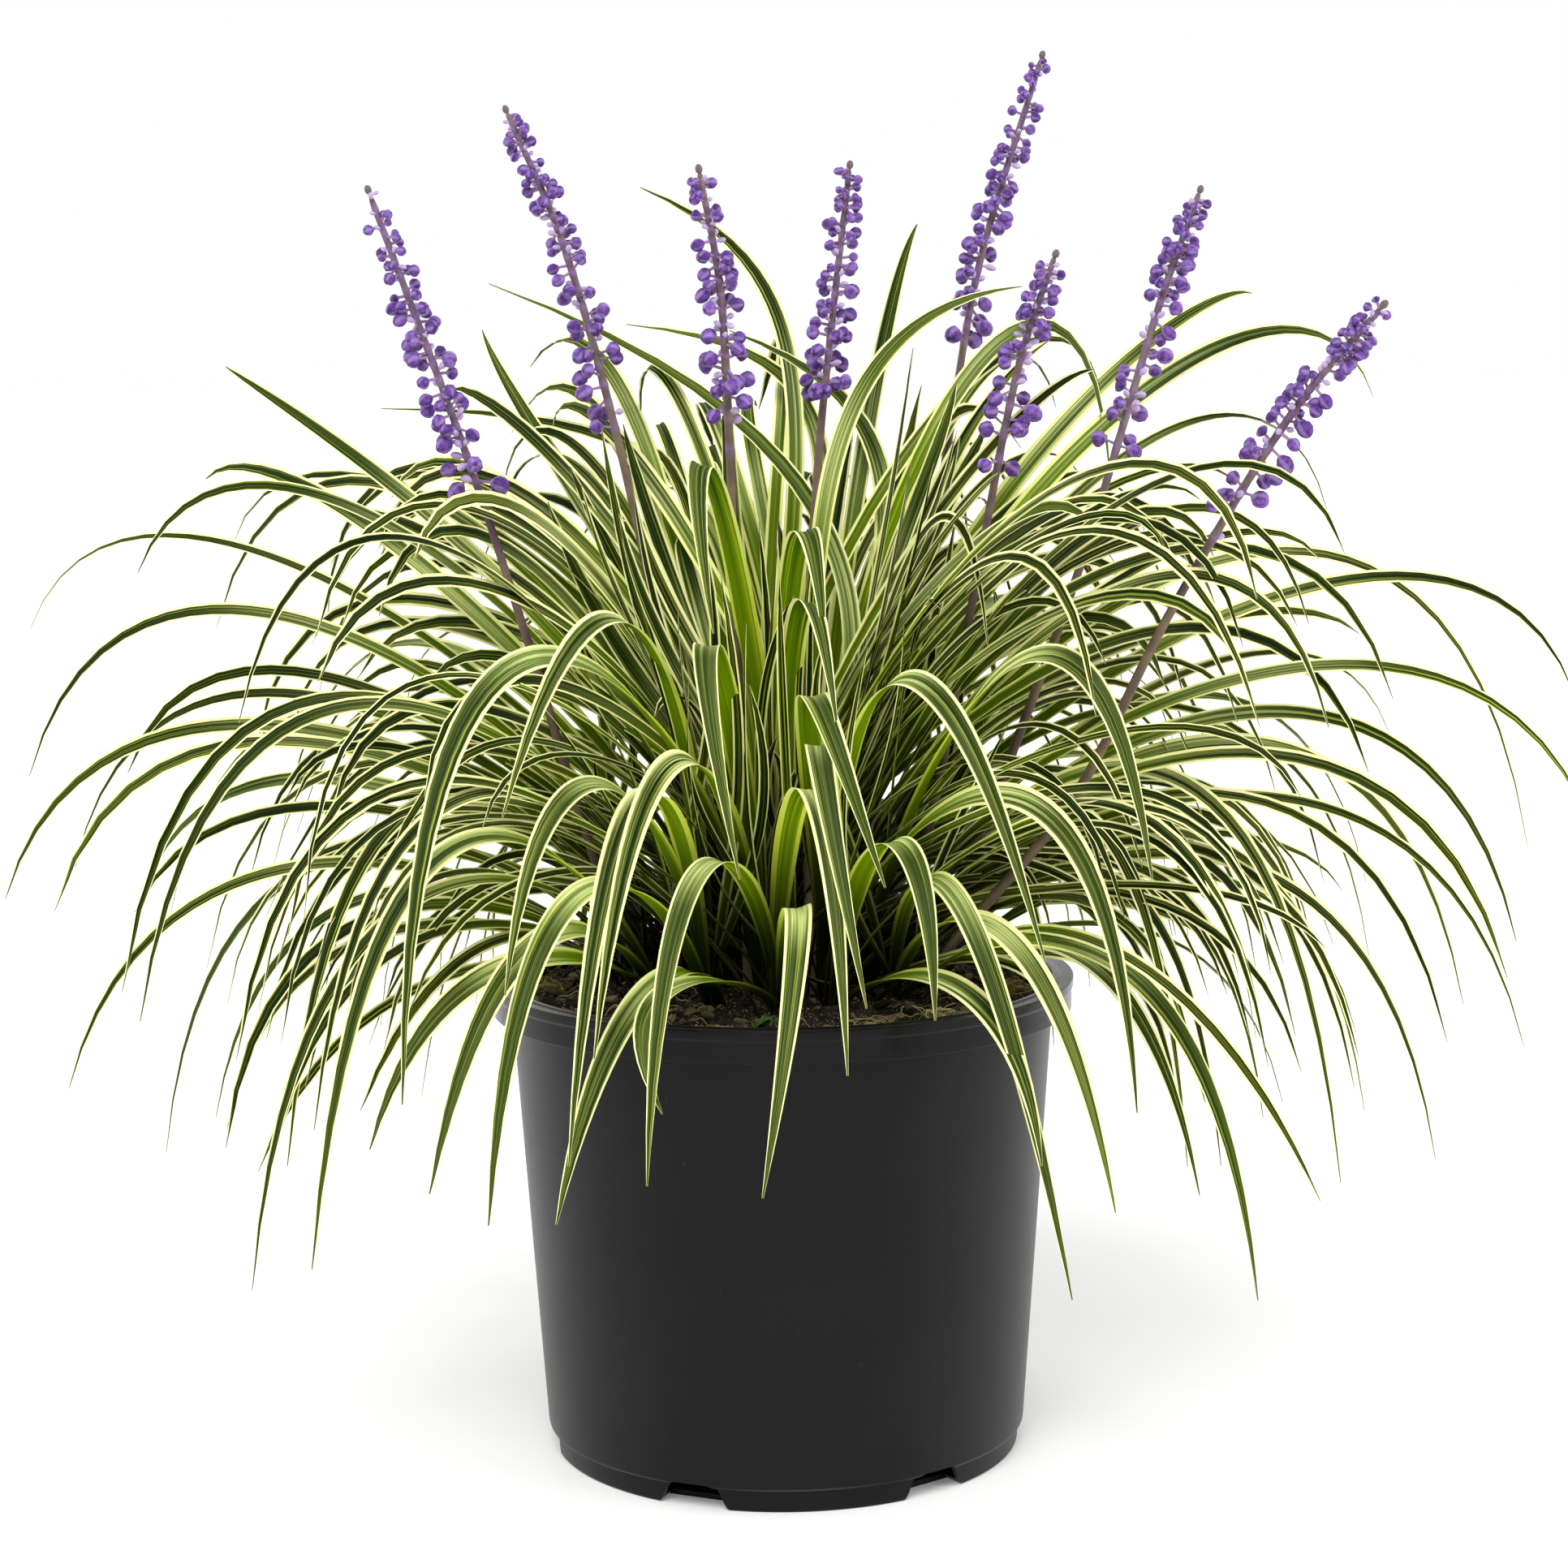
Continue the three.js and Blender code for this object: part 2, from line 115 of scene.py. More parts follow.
# A flower stem's foot, the points it passes up to its tip, and the height where its flowers begin.
spikes = [
    dict(flowersFrom=468, foot=[-68, -20],
         path=[[-88, -31, 292], [-115, -49, 393], [-140, -56, 477], [-181, -64, 597]]),
    dict(flowersFrom=491, foot=[-28, 8],
         path=[[-50, 14, 357], [-77, 26, 488], [-103, 40, 582], [-128, 48, 641]]),
    dict(flowersFrom=481, foot=[-16, -28],
         path=[[-19, -45, 374], [-22, -61, 503], [-25, -69, 557], [-33, -75, 604]]),
    dict(flowersFrom=505, foot=[14, -26],
         path=[[12, -10, 351], [20, 10, 477], [27, 19, 540], [36, 30, 612]]),
    dict(flowersFrom=530, foot=[34, 44],
         path=[[56, 64, 350], [82, 78, 463], [101, 88, 566], [133, 98, 669]]),
    dict(flowersFrom=475, foot=[54, -4],
         path=[[71, -5, 299], [90, -22, 404], [112, -42, 521], [126, -58, 566]]),
    dict(flowersFrom=480, foot=[72, -6],
         path=[[111, -6, 336], [144, 6, 423], [185, 34, 548], [205, 48, 600]]),
    dict(flowersFrom=442, foot=[72, -38],
         path=[[134, -60, 319], [177, -83, 409], [228, -108, 499], [262, -120, 541]]),
]

mixTop = dict(edgeHeight=221, dome=5, wallRadius=130.5)


def mixHeight(reach):
    # the mix's surface: highest on the pot's axis, falling with the square of the reach
    return mixTop["edgeHeight"] + mixTop["dome"] * (1 - (reach / mixTop["wallRadius"]) ** 2)


def polar(azimuth, reach, height):
    # a point from its azimuth in degrees, its distance from the pot's axis and its height
    turn = np.radians(azimuth)
    return np.stack(np.broadcast_arrays(reach * np.cos(turn), reach * np.sin(turn), height), -1)


def ramp(value, low, high):
    # 0 below low, 1 above high, eased between: t * t * (3 - 2 t)
    t = np.clip((value - low) / (high - low), 0, 1)
    return t * t * (3 - 2 * t)


def unit(vectors):
    return vectors / np.linalg.norm(vectors, axis=-1, keepdims=True)


def waves(x, y, size, count, seed):
    # crossing sine waves of about one size, added up and scaled to about -1 to 1
    rng = np.random.default_rng(seed)
    turn = rng.uniform(0, 2 * np.pi, count)
    step = 2 * np.pi / (size * rng.uniform(0.7, 1.5, count))
    start = rng.uniform(0, 2 * np.pi, count)
    run = x[..., None] * np.cos(turn) + y[..., None] * np.sin(turn)
    return np.sin(run * step + start).sum(-1) / math.sqrt(count)


def add(name, data):
    made = bpy.data.objects.new(name, data)
    bpy.context.scene.collection.objects.link(made)
    return made


def makeTubes(name, rings, marks=None, cells=None, firstCell=0, sharpAngle=50):
    # rings is copies x stations x around x 3 in millimetres: each copy is one closed skin, with a
    # cap at each end. The map "skin" holds the share round and along each copy, and "OFBake" gives
    # each copy a cell of its own, counted from firstCell, on a square grid if cells says nothing.
    # Marks are attributes: a value for each copy, or for each of its stations.
    copies, stations, around = rings.shape[:3]
    index = np.arange(copies * stations * around).reshape(copies, stations, around)
    turned = np.roll(index, -1, axis=2)
    quads = np.stack([index[:, :-1], turned[:, :-1], turned[:, 1:], index[:, 1:]], -1)
    caps = np.stack([index[:, 0, ::-1], index[:, -1]], 1)
    corners = np.concatenate([quads.ravel(), caps.ravel()])
    sizes = np.concatenate([np.full(quads.size // 4, 4), np.full(2 * copies, around)])

    mesh = bpy.data.meshes.new(name)
    mesh.vertices.add(index.size)
    mesh.vertices.foreach_set("co", (rings * mm).astype(np.float32).ravel())
    mesh.loops.add(len(corners))
    mesh.loops.foreach_set("vertex_index", corners.astype(np.int32))
    mesh.polygons.add(len(sizes))
    mesh.polygons.foreach_set("loop_start", (np.cumsum(sizes) - sizes).astype(np.int32))
    mesh.polygons.foreach_set("use_smooth", np.ones(len(sizes), bool))
    mesh.update(calc_edges=True)

    u = (np.arange(around)[:, None] + [0, 1, 1, 0]) / around
    v = (np.arange(stations - 1)[:, None] + [0, 0, 1, 1]) / (stations - 1)
    quadMap = np.stack(np.broadcast_arrays(u[None], v[:, None]), -1)
    quadMap = np.broadcast_to(quadMap, (copies, *quadMap.shape))
    turn = np.arange(around) / around
    capMap = np.stack([np.stack([turn[::-1], turn * 0], -1), np.stack([turn, turn * 0 + 1], -1)])
    capMap = np.broadcast_to(capMap, (copies, *capMap.shape))

    # a cell has the skin in its middle, and each cap as a thin ellipse above or below it
    columns, rows = cells or [math.ceil(math.sqrt(copies))] * 2
    order = firstCell + np.arange(copies)
    cell = np.stack([order % columns, order // columns], -1)
    grid = np.array([columns, rows])
    quadCell = cell[:, None, None, None] + [0.04, 0.05] + quadMap * [0.92, 0.9]
    circle = np.stack([0.3 * np.cos(2 * np.pi * turn), 0.012 * np.sin(2 * np.pi * turn)], -1)
    ends = np.array([[0.5, 0.02], [0.5, 0.98]])
    capCell = cell[:, None, None] + ends[:, None] + circle
    for mapName, quadPart, capPart in (("skin", quadMap, capMap),
                                       ("OFBake", quadCell / grid, capCell / grid)):
        layer = mesh.uv_layers.new(name=mapName)
        both = np.concatenate([quadPart.reshape(-1, 2), capPart.reshape(-1, 2)])
        layer.uv.foreach_set("vector", both.astype(np.float32).ravel())

    for mark, values in (marks or {}).items():
        values = np.asarray(values, float)
        values = values.reshape(values.shape + (1,) * (3 - values.ndim))
        spread = np.broadcast_to(values, (copies, stations, around))
        layer = mesh.attributes.new(mark, "FLOAT", "POINT")
        layer.data.foreach_set("value", spread.astype(np.float32).ravel())
    mesh.set_sharp_from_angle(angle=math.radians(sharpAngle))
    return add(name, mesh)


def frames(paths, across):
    # the side and normal along paths of copies x stations x 3; across guides the side
    tangent = unit(np.gradient(paths, axis=-2))
    normal = unit(np.cross(tangent, across))
    return np.cross(normal, tangent), normal


def carry(paths, across, radius, around):
    # a round section carried along each path: point + radius * (cos side + sin normal)
    side, normal = frames(paths, across)
    turn = np.arange(around) * 2 * np.pi / around
    ring = np.cos(turn)[:, None] * side[..., None, :] + np.sin(turn)[:, None] * normal[..., None, :]
    return paths[..., None, :] + radius[..., None, None] * ring


def rest(piece, finish, slot, *nodes):
    # gives a finished piece its material, its body and the CAD nodes it stands for; the slot is not used
    piece.data.materials.clear()
    piece.data.materials.append(finish)
    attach(piece, "root")
    if nodes:
        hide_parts(*nodes)
    return piece


def tone(red, green, blue):
    # an sRGB colour as linear light
    share = np.array([red, green, blue]) / 255
    linear = np.where(share <= 0.04045, share / 12.92, ((share + 0.055) / 1.055) ** 2.4)
    return (*(float(x) for x in linear), 1.0)


class Wire:
    # one output of a node; arithmetic on it adds Math nodes
    def __init__(self, owner, socket):
        self.owner = owner
        self.socket = socket

    def math(self, operation, *others):
        return self.owner.node("ShaderNodeMath", {"operation": operation},
                               dict(enumerate([self, *others])))

    def __add__(self, other):
        return self.math("ADD", other)

    def __sub__(self, other):
        return self.math("SUBTRACT", other)

    def __rsub__(self, other):
        return self.math("MULTIPLY_ADD", -1, other)

    def __mul__(self, other):
        return self.math("MULTIPLY", other)

    def __gt__(self, other):
        return self.math("GREATER_THAN", other)

    __radd__ = __add__
    __rmul__ = __mul__


class Nodes:
    # any node tree: a node from its type, its settings, then the values or wires of its sockets
    def __init__(self, tree):
        self.tree = tree

    def node(self, kind, settings=None, inputs=None, output=0):
        made = self.tree.nodes.new(kind)
        for name, value in (settings or {}).items():
            setattr(made, name, value)
        for key, value in (inputs or {}).items():
            if isinstance(value, Wire):
                self.tree.links.new(value.socket, made.inputs[key])
            else:
                made.inputs[key].default_value = value
        return Wire(self, made.outputs[output])

    def ease(self, value, low, high):
        return self.node("ShaderNodeMapRange", {"interpolation_type": "SMOOTHSTEP"},
                         {"Value": value, "From Min": low, "From Max": high})

    def axes(self, vector, letters):
        return [self.node("ShaderNodeSeparateXYZ", {}, {0: vector}, axis) for axis in letters]


class Finish(Nodes):
    # a material; constants go straight on its shader, and feed() links what varies
    def __init__(self, name, **constants):
        self.material = bpy.data.materials.new(name)
        self.material.use_nodes = True
        super().__init__(self.material.node_tree)
        self.shader = self.tree.nodes["Principled BSDF"]
        for socket, value in constants.items():
            title = socket.replace("_", " ").title().replace("Ior", "IOR")
            self.shader.inputs[title].default_value = value

    def feed(self, **wires):
        for socket, wire in wires.items():
            self.tree.links.new(wire.socket, self.shader.inputs[socket.replace("_", " ").title()])
        return self.material

    def mix(self, factor, first, second):
        return self.node("ShaderNodeMix", {"data_type": "RGBA"}, {0: factor, 6: first, 7: second}, 2)

    def layers(self, colour, *rows):
        # lays colours over each other; a row has a colour, its share, a value, and the two limits
        # between which the value eases it in
        for over, share, value, low, high in rows:
            colour = self.mix(self.ease(value, low, high) * share, colour, over)
        return colour

    def noise(self, vector, scale, detail):
        return self.node("ShaderNodeTexNoise", {}, {"Vector": vector, "Scale": scale, "Detail": detail})

    def place(self):
        return self.node("ShaderNodeTexCoord", output="Object")

    def skin(self):
        # the shares round and along a piece, from its own map
        return self.axes(self.node("ShaderNodeUVMap", {"uv_map": "skin"}), "XY")

    def deep(self):
        # 1 low down near the pot's axis, falling to 0 at its rim and at 380 mm: where the leaves get
        # painted shade deep in the clump
        x, y, z = self.axes(self.place(), "XYZ")
        reach = (x * x + y * y).math("SQRT")
        return self.ease(reach, 0.14, 0.06) * self.ease(z, 0.38, 0.25)

    def mark(self, name):
        return self.node("ShaderNodeAttribute", {"attribute_name": name}, output="Fac")

    def vector(self, x, y):
        return self.node("ShaderNodeCombineXYZ", {}, {0: x, 1: y})

    def bump(self, height, strength, distance):
        return self.node("ShaderNodeBump", {}, {"Height": height, "Strength": strength,
                                                "Distance": distance})


leafTones = dict(
    # rise is partly the rising blade's own yellower colour and partly a painted glow standing in for light
    # shining through it
    dark=tone(10, 28, 0), light=tone(86, 120, 0), rise=tone(136, 170, 0), young=tone(216, 232, 50),
    # the bloom colour is a painted sheen: pale colour standing in for light reflected off the arching upper
    # faces
    margin=tone(252, 250, 180), paintedSheen=tone(204, 216, 136), foot=tone(6, 12, 0), tip=tone(150, 120, 70),
    # the foot colour is a painted shade, near black, laid on the foot of every blade; deep is how much of
    # it lies on all that is deep in the clump
    marginFrom=0.52, marginBroad=0.1, marginVaries=0.2, marginSoft=0.08, deep=0.9,
)
# the seedling's foot colour is the same painted shade at its foot, and it has no painted shade deep in the
# clump
weedTones = dict(leafTones, deep=0, dark=tone(32, 50, 22), light=tone(56, 80, 34),
                 rise=tone(56, 80, 34), margin=tone(78, 102, 48), young=tone(68, 94, 42),
                 # the seedling's sheen colour is a painted sheen as well, in a dull green
                 paintedSheen=tone(70, 94, 46), foot=tone(34, 50, 20))


def leafFinish(name, look):
    # Across is 0 at one margin and 1 at the other, on both faces. Fine veins and wider bands are
    # noise stretched along the blade. The cream margin starts where the distance from the midrib,
    # moved by the bands and the leaf's own seed, passes its threshold. The rising half of a leaf
    # is yellower in both, partly its own colour and partly a painted glow for light shining through
    # the blade, and its margins are wider on a broad leaf. The foot is painted darker as shade, and
    # so is all that lies deep in the clump, low and near the pot's axis: painted shade where the
    # leaves shadow each other. Where it arches, the upper face of a broad leaf has a painted sheen,
    # pale colour standing in for light reflected off it, and cream lines, both in streaks, more of
    # them on a leaf of a high seed. Further on it hangs, and its green is darker there.
    finish = Finish(name, specular_ior_level=0.07)
    around, along = finish.skin()
    seed = finish.mark("seed")
    broad = finish.mark("broad")
    double = around * 2
    across = double.math("PINGPONG", 1.0)
    under = double > 1.0
    offMid = (across * 2 - 1).math("ABSOLUTE")
    veins = finish.noise(finish.vector(across * 26 + seed * 57, along * 1.3 + seed * 13), 1.0, 3.0)
    bands = finish.noise(finish.vector(across * 6 + seed * 91, along * 1.1 + seed * 7), 1.0, 1.0)
    start = look["marginFrom"] + seed * look["marginVaries"] + (bands - 0.5) * 0.3
    rising = finish.ease(along, 0.62, 0.25)
    start = start + broad * (1 - rising) * look["marginBroad"]
    edge = finish.ease(offMid - start, 0.0, look["marginSoft"])
    grain = veins * 0.5 + bands * 0.5 + (seed - 0.5) * 0.12 + (broad - 0.6) * 0.24
    green = finish.mix(finish.ease(grain, 0.4, 0.68), look["dark"], look["light"])
    # the rising half turns yellower, partly its own colour and partly a painted glow standing in for light
    # shining through the blade
    green = finish.mix(rising * (0.3 + broad * 0.3) * (veins + 0.5), green, look["rise"])
    # the streaks where the painted sheen lies
    sheenStreaks = finish.ease(bands + veins * 0.4, 0.6, 0.82)
    hanging = finish.ease(along, 0.55, 0.76)
    arch = finish.ease(along, 0.3, 0.5) * (1 - hanging * 0.9)
    green = finish.mix(hanging * (0.3 + broad * 0.7) * (1.3 - veins), green, look["dark"])
    topside = (1 - under) * arch * broad
    # painted sheen: pale colour on the arching upper face of a broad leaf, standing in for light reflected
    # off it
    green = finish.mix(topside * (sheenStreaks * 0.85 + seed * 0.35), green, look["paintedSheen"])
    lines = finish.ease(veins * 0.7 + bands * 0.3, 0.54, 0.64)
    green = finish.mix(lines * 0.38, green, look["young"])
    green = finish.mix(lines * topside * 0.65, green, look["margin"])
    # the margins turn yellower on the under face and where the blade rises, there partly a painted glow of
    # light shining through it
    margin = finish.mix(rising * (0.3 + broad * 0.3) + under * 0.3, look["margin"], look["young"])
    colour = finish.mix(edge, green, margin)
    # painted shade: the foot of each blade darkened towards near black
    colour = finish.mix(finish.ease(along, 0.3, 0.02) * 0.85, colour, look["foot"])
    # painted shade: all that lies deep in the clump, low and near the pot's axis, darkened where the leaves
    # shadow it
    colour = finish.mix(finish.deep() * look["deep"], colour, look["foot"])
    dry = finish.ease(along, 0.985, 1.0) * finish.ease(seed, 0.75, 0.9) * 0.6
    colour = finish.mix(dry, colour, look["tip"])
    return finish.feed(base_color=colour, roughness=0.44 + veins * 0.16,
                       normal=finish.bump(veins, 0.35, 0.0004))


stemTones = dict(foot=tone(98, 88, 54), middle=tone(102, 82, 64), top=tone(98, 68, 92),
                 dark=tone(62, 44, 40), light=tone(124, 108, 72), rib=tone(134, 114, 92),
                 collar=tone(150, 120, 176))


def stemFinish(look):
    # brown green at the foot, purple brown above, with dark and light patches by noise, fine ribs
    # by noise stretched along the stem, and pale violet on the collars
    finish = Finish("purpleStem")
    around, along = finish.skin()
    ribs = finish.noise(finish.vector(around * 22, along * 6), 1.0, 2.0)
    patches = finish.noise(finish.place(), 55.0, 3.0)
    colour = finish.layers(look["foot"],
                           (look["middle"], 1, along, 0.1, 0.45),
                           (look["top"], 1, along, 0.52, 0.8),
                           (look["dark"], 0.55, patches, 0.46, 0.66),
                           (look["light"], 0.6, patches, 0.5, 0.36),
                           (look["rib"], 0.4, ribs, 0.5, 0.75))
    colour = finish.mix(finish.mark("collar") * 0.6, colour, look["collar"])
    return finish.feed(base_color=colour, roughness=0.45 + ribs * 0.2,
                       normal=finish.bump(ribs, 0.4, 0.0004))


budTones = dict(deep=tone(92, 52, 132), light=tone(138, 98, 182), mottle=tone(48, 18, 88),
                petal=tone(188, 162, 222), stalk=tone(160, 130, 172), end=tone(44, 16, 70),
                closed=tone(206, 184, 224), last=tone(112, 96, 96))


def budFinish(look):
    # violet, varied from bud to bud, darker by fine noise, with light ribs by a sine round the bud
    # and a dark end; stalks and the small closed buds are pale, and the spike's last bud is greyish
    finish = Finish("violetBud", specular_ior_level=0.22, sheen_weight=0.12, sheen_roughness=0.4)
    around, along = finish.skin()
    seed = finish.mark("seed")
    mottle = finish.noise(finish.place(), 420.0, 3.0)
    petals = (around * (2 * math.pi * 3) + seed * 6).math("SINE")
    colour = finish.layers(finish.mix(seed, look["deep"], look["light"]),
                           (look["mottle"], 0.6, mottle, 0.4, 0.62),
                           (look["petal"], 0.35, petals, 0.2, 1.0),
                           (look["stalk"], 1, along, 0.3, 0.16),
                           (look["end"], 0.8, along, 0.86, 1.0))
    colour = finish.mix(finish.mark("closed") * 0.8, colour, look["closed"])
    colour = finish.mix(finish.mark("last"), colour, look["last"])
    return finish.feed(base_color=colour, roughness=0.42 + mottle * 0.25,
                       normal=finish.bump(mottle, 0.3, 0.0003))


potTones = dict(dark=tone(6, 6, 6), light=tone(12, 12, 12), scuff=tone(60, 60, 62),
                # the pale line colour is a painted highlight on the edge of the step above the foot ring
                rim=tone(3, 3, 3), paintedStepHighlight=tone(72, 72, 74))


def potFinish(look):
    # charcoal with faint cloudy marks, fine scuffs and a moulded grain, each by noise of its size;
    # above a height the rim is darker and glossier, and a pale line is painted as a highlight round
    # where the height is within a millimetre of the step above the foot ring
    finish = Finish("charcoalPlastic", specular_ior_level=0.18, sheen_weight=0.06, sheen_roughness=0.35)
    place = finish.place()
    grain = finish.noise(place, 1500.0, 2.0)
    cloud = finish.noise(place, 16.0, 4.0)
    turned = finish.node("ShaderNodeMapping", {}, {"Vector": place, "Scale": (1, 1, 0.4),
                                                   "Rotation": (0.3, 0.2, 0)})
    scuffs = finish.noise(turned, 330.0, 5.0)
    height = finish.axes(place, "Z")[0]
    rim = finish.ease(height, 0.212, 0.216)
    colour = finish.layers(look["dark"], (look["light"], 1, cloud, 0.35, 0.7),
                           (look["scuff"], 0.3, scuffs, 0.7, 0.8))
    colour = finish.mix(rim * 0.7, colour, look["rim"])
    # painted highlight: a pale line round the edge of the step above the foot ring, broken where the cloudy
    # marks are low
    step = finish.ease((height - 0.0113).math("ABSOLUTE"), 0.0008, 0.0003)
    colour = finish.mix(step * finish.ease(cloud, 0.3, 0.6) * 0.5, colour, look["paintedStepHighlight"])
    roughness = 0.33 + cloud * 0.12 - rim * 0.17
    return finish.feed(base_color=colour, roughness=roughness,
                       normal=finish.bump(grain + scuffs * 0.6, 0.22, 0.0003))


mixTones = dict(peat=tone(10, 9, 7), lump=tone(30, 24, 17), crumb=tone(52, 42, 28),
                fleck=tone(168, 146, 106), barkDark=tone(14, 12, 9), barkLight=tone(144, 128, 90),
                fibreDark=tone(120, 102, 64), fibreLight=tone(206, 186, 138))


def mixFinish(look):
    # dark damp peat, browner crumbs and tan flecks by noise of three sizes
    finish = Finish("pottingMix", specular_ior_level=0.3)
    place = finish.place()
    lumps = finish.noise(place, 90.0, 4.0)
    crumbs = finish.noise(place, 420.0, 3.0)
    flecks = finish.noise(place, 900.0, 2.0)
    colour = finish.layers(look["peat"],
                           (look["lump"], 1, lumps, 0.35, 0.65),
                           (look["crumb"], 0.6, crumbs, 0.56, 0.7),
                           (look["fleck"], 0.85, flecks, 0.6, 0.66))
    return finish.feed(base_color=colour, roughness=0.8 + crumbs * 0.2,
                       normal=finish.bump(lumps + crumbs * 0.6, 0.9, 0.0015))


def crumbFinish(name, dark, light):
    # bark and fibre: each bit has its own tone from its seed, with a fine grain along it
    finish = Finish(name, specular_ior_level=0.3)
    around, along = finish.skin()
    seed = finish.mark("seed")
    grain = finish.noise(finish.vector(around * 9 + seed * 40, along * 2), 1.0, 3.0)
    colour = finish.layers(finish.mix(seed, dark, light), (dark, 0.5, grain, 0.45, 0.7))
    return finish.feed(base_color=colour, roughness=0.75 + grain * 0.2,
                       normal=finish.bump(grain, 0.6, 0.0005))


def floorFinish(look):
    # pale and even, with a trace of tone by wide noise so that it isn't one flat colour
    finish = Finish("paleFloor", roughness=0.6, emission_strength=look["floorGlow"])
    cloud = finish.noise(finish.place(), 0.8, 2.0)
    pale = finish.mix(cloud, *look["floorTones"])
    return finish.feed(base_color=pale, emission_color=pale)


leafLook = dict(
    seed=100, outer=6, middle=7, inner=38, scatter=19,
    mainWidth=(6.8, 9.6), tallWidth=(9, 11), heroWidth=(11, 13.5), fillerWidth=(5.2, 8.4),
    innerWidth=(3.6, 6),
    narrow=6.5, broad=11.5, footWidth=0.5, openAt=0.35, tipWidth=0.06,
    thickness=0.62, tipThinner=0.45, keel=0.35, cup=1.25,
    foldAt=[0, 0.25, 0.6, 1], fold=[0.55, 0.24, 0.24, 0.3],
    when=(0.15, 0.885), steep=(1.45, 0.2), outward=0.2, crowding=0.35, crowdedAt=0.55,
    sideTurn=46, sideTurnVaries=(0.9, 1.3), twist=6, nearest=0.33, steepest=1.15, backReach=300,
    tallFrom=450, tallShare=0.42, uprightShare=0.18, youngShare=0.2, lowShare=0.18,
    shrinkMost=0.4, middleHeights=(0.84, 1.02), tipHeights=(0.85, 1.1), sink=4,
    front=270, frontHalf=52, frontYoungShare=0.4, sideways=(50, 105), sideVaries=14,
    outerFrom=60, middleFrom=30,
)

# Where a kind of narrow leaf goes: the ranges of its middle's reach and height, then of how far
# its tip lies beyond its middle and below it. A young leaf's reach and height count from its foot.
leafPlaces = dict(
    crown=[(85, 165), (365, 455), (60, 150), (-30, 70)],
    tall=[(60, 130), (400, 480), (60, 130), (-70, 10)],
    upright=[(34, 60), (340, 400), (20, 50), (-130, -70)],
    low=[(112, 170), (238, 275), (70, 150), (40, 110)],
    leaning=[(90, 165), (262, 380), (50, 130), (15, 100)],
    young=[(8, 24), (60, 130), (10, 34), (-110, -40)],
)

# The two kinds of blade. A section has the share across of each point, its share of the thickness
# and the keel's. Fan, turn and sway are how much the feet, tilts and bends of a shoot's leaves vary.
mainBlade = dict(stations=34, taper=2.6, fan=1.8, turn=7, sway=3,
                 across=[1, 0.5, 0, -0.5, -1, -0.5, 0, 0.5],
                 face=[0.25, 0.8, 1, 0.8, 0.25, -0.8, -1, -0.8], keel=[0, 0, 0, 0, 0, 0, 1, 0])
narrowBlade = dict(stations=24, taper=4.5, fan=5.4, turn=7, sway=18,
                   across=[1, 0, -1, 0], face=[0.25, 1, 0.25, -1], keel=[0, 0, 0, 0.6])


def leafRings(foot, middle, tip, width, turn, twist, sway, look, blade):
    # A blade's middle line is a cubic curve from the foot past the middle to the tip, bent sideways
    # by sway times the square of the share along. The middle's share of the reach sets when it is
    # passed, and how steeply the curve rises to it. A sine draws the stations closer together round
    # the arch. The section is a folded strap, thin at the margins and keeled under the midrib. Its
    # width opens over the lower third and closes to the tip with the power that its kind gives.
    inner = np.linalg.norm((middle - foot)[:, :2], axis=1)
    outer = np.linalg.norm((tip - middle)[:, :2], axis=1)
    share = (inner / (inner + outer))[:, None]
    when, steepness = (first + (last - first) * share for first, last in (look["when"], look["steep"]))
    rise = foot + look["outward"] * (middle - foot)
    rise[:, 2:] = foot[:, 2:] + steepness * (middle - foot)[:, 2:]
    fall = middle - (1 - when) ** 3 * foot - 3 * when * (1 - when) ** 2 * rise - when ** 3 * tip
    fall = fall / (3 * when ** 2 * (1 - when))
    along = np.linspace(0, 1, blade["stations"])
    along = along - look["crowding"] / (2 * np.pi) * (np.sin(2 * np.pi * (along - look["crowdedAt"]))
                                                      + math.sin(2 * np.pi * look["crowdedAt"]))
    t = along[:, None]
    paths = ((1 - t) ** 3 * foot[:, None] + 3 * t * (1 - t) ** 2 * rise[:, None]
             + 3 * t ** 2 * (1 - t) * fall[:, None] + t ** 3 * tip[:, None])
    travel = unit((tip - foot) * [1, 1, 0])
    across = np.stack([-travel[:, 1], travel[:, 0], travel[:, 2]], -1)[:, None]
    paths = paths + across * (sway[:, None] * along ** 2)[..., None]
    side, normal = frames(paths, across)

    roll = np.radians(turn[:, None] * ramp(along, 0.08, 0.55) + twist[:, None] * along)[..., None]
    side, normal = (side * np.cos(roll) + normal * np.sin(roll),
                    normal * np.cos(roll) - side * np.sin(roll))

    end = np.clip(2 * along - 1, 0, 1)
    opening = look["footWidth"] + (1 - look["footWidth"]) * ramp(along, 0, look["openAt"])
    half = width[:, None] / 2 * opening * (1 - (1 - look["tipWidth"]) * end ** blade["taper"])
    fold = np.interp(along, look["foldAt"], look["fold"])
    x, face, keel = (np.array(blade[key]) for key in ("across", "face", "keel"))
    skin = look["thickness"] / 2 * (1 - look["tipThinner"] * end)
    lift = (half * fold)[..., None] * np.abs(x) ** look["cup"]
    up = lift + skin[:, None] * face - (1 - end)[:, None] * keel * look["keel"]
    return (paths[:, :, None] + side[:, :, None] * (half[..., None] * x)[..., None]
            + normal[:, :, None] * up[..., None])


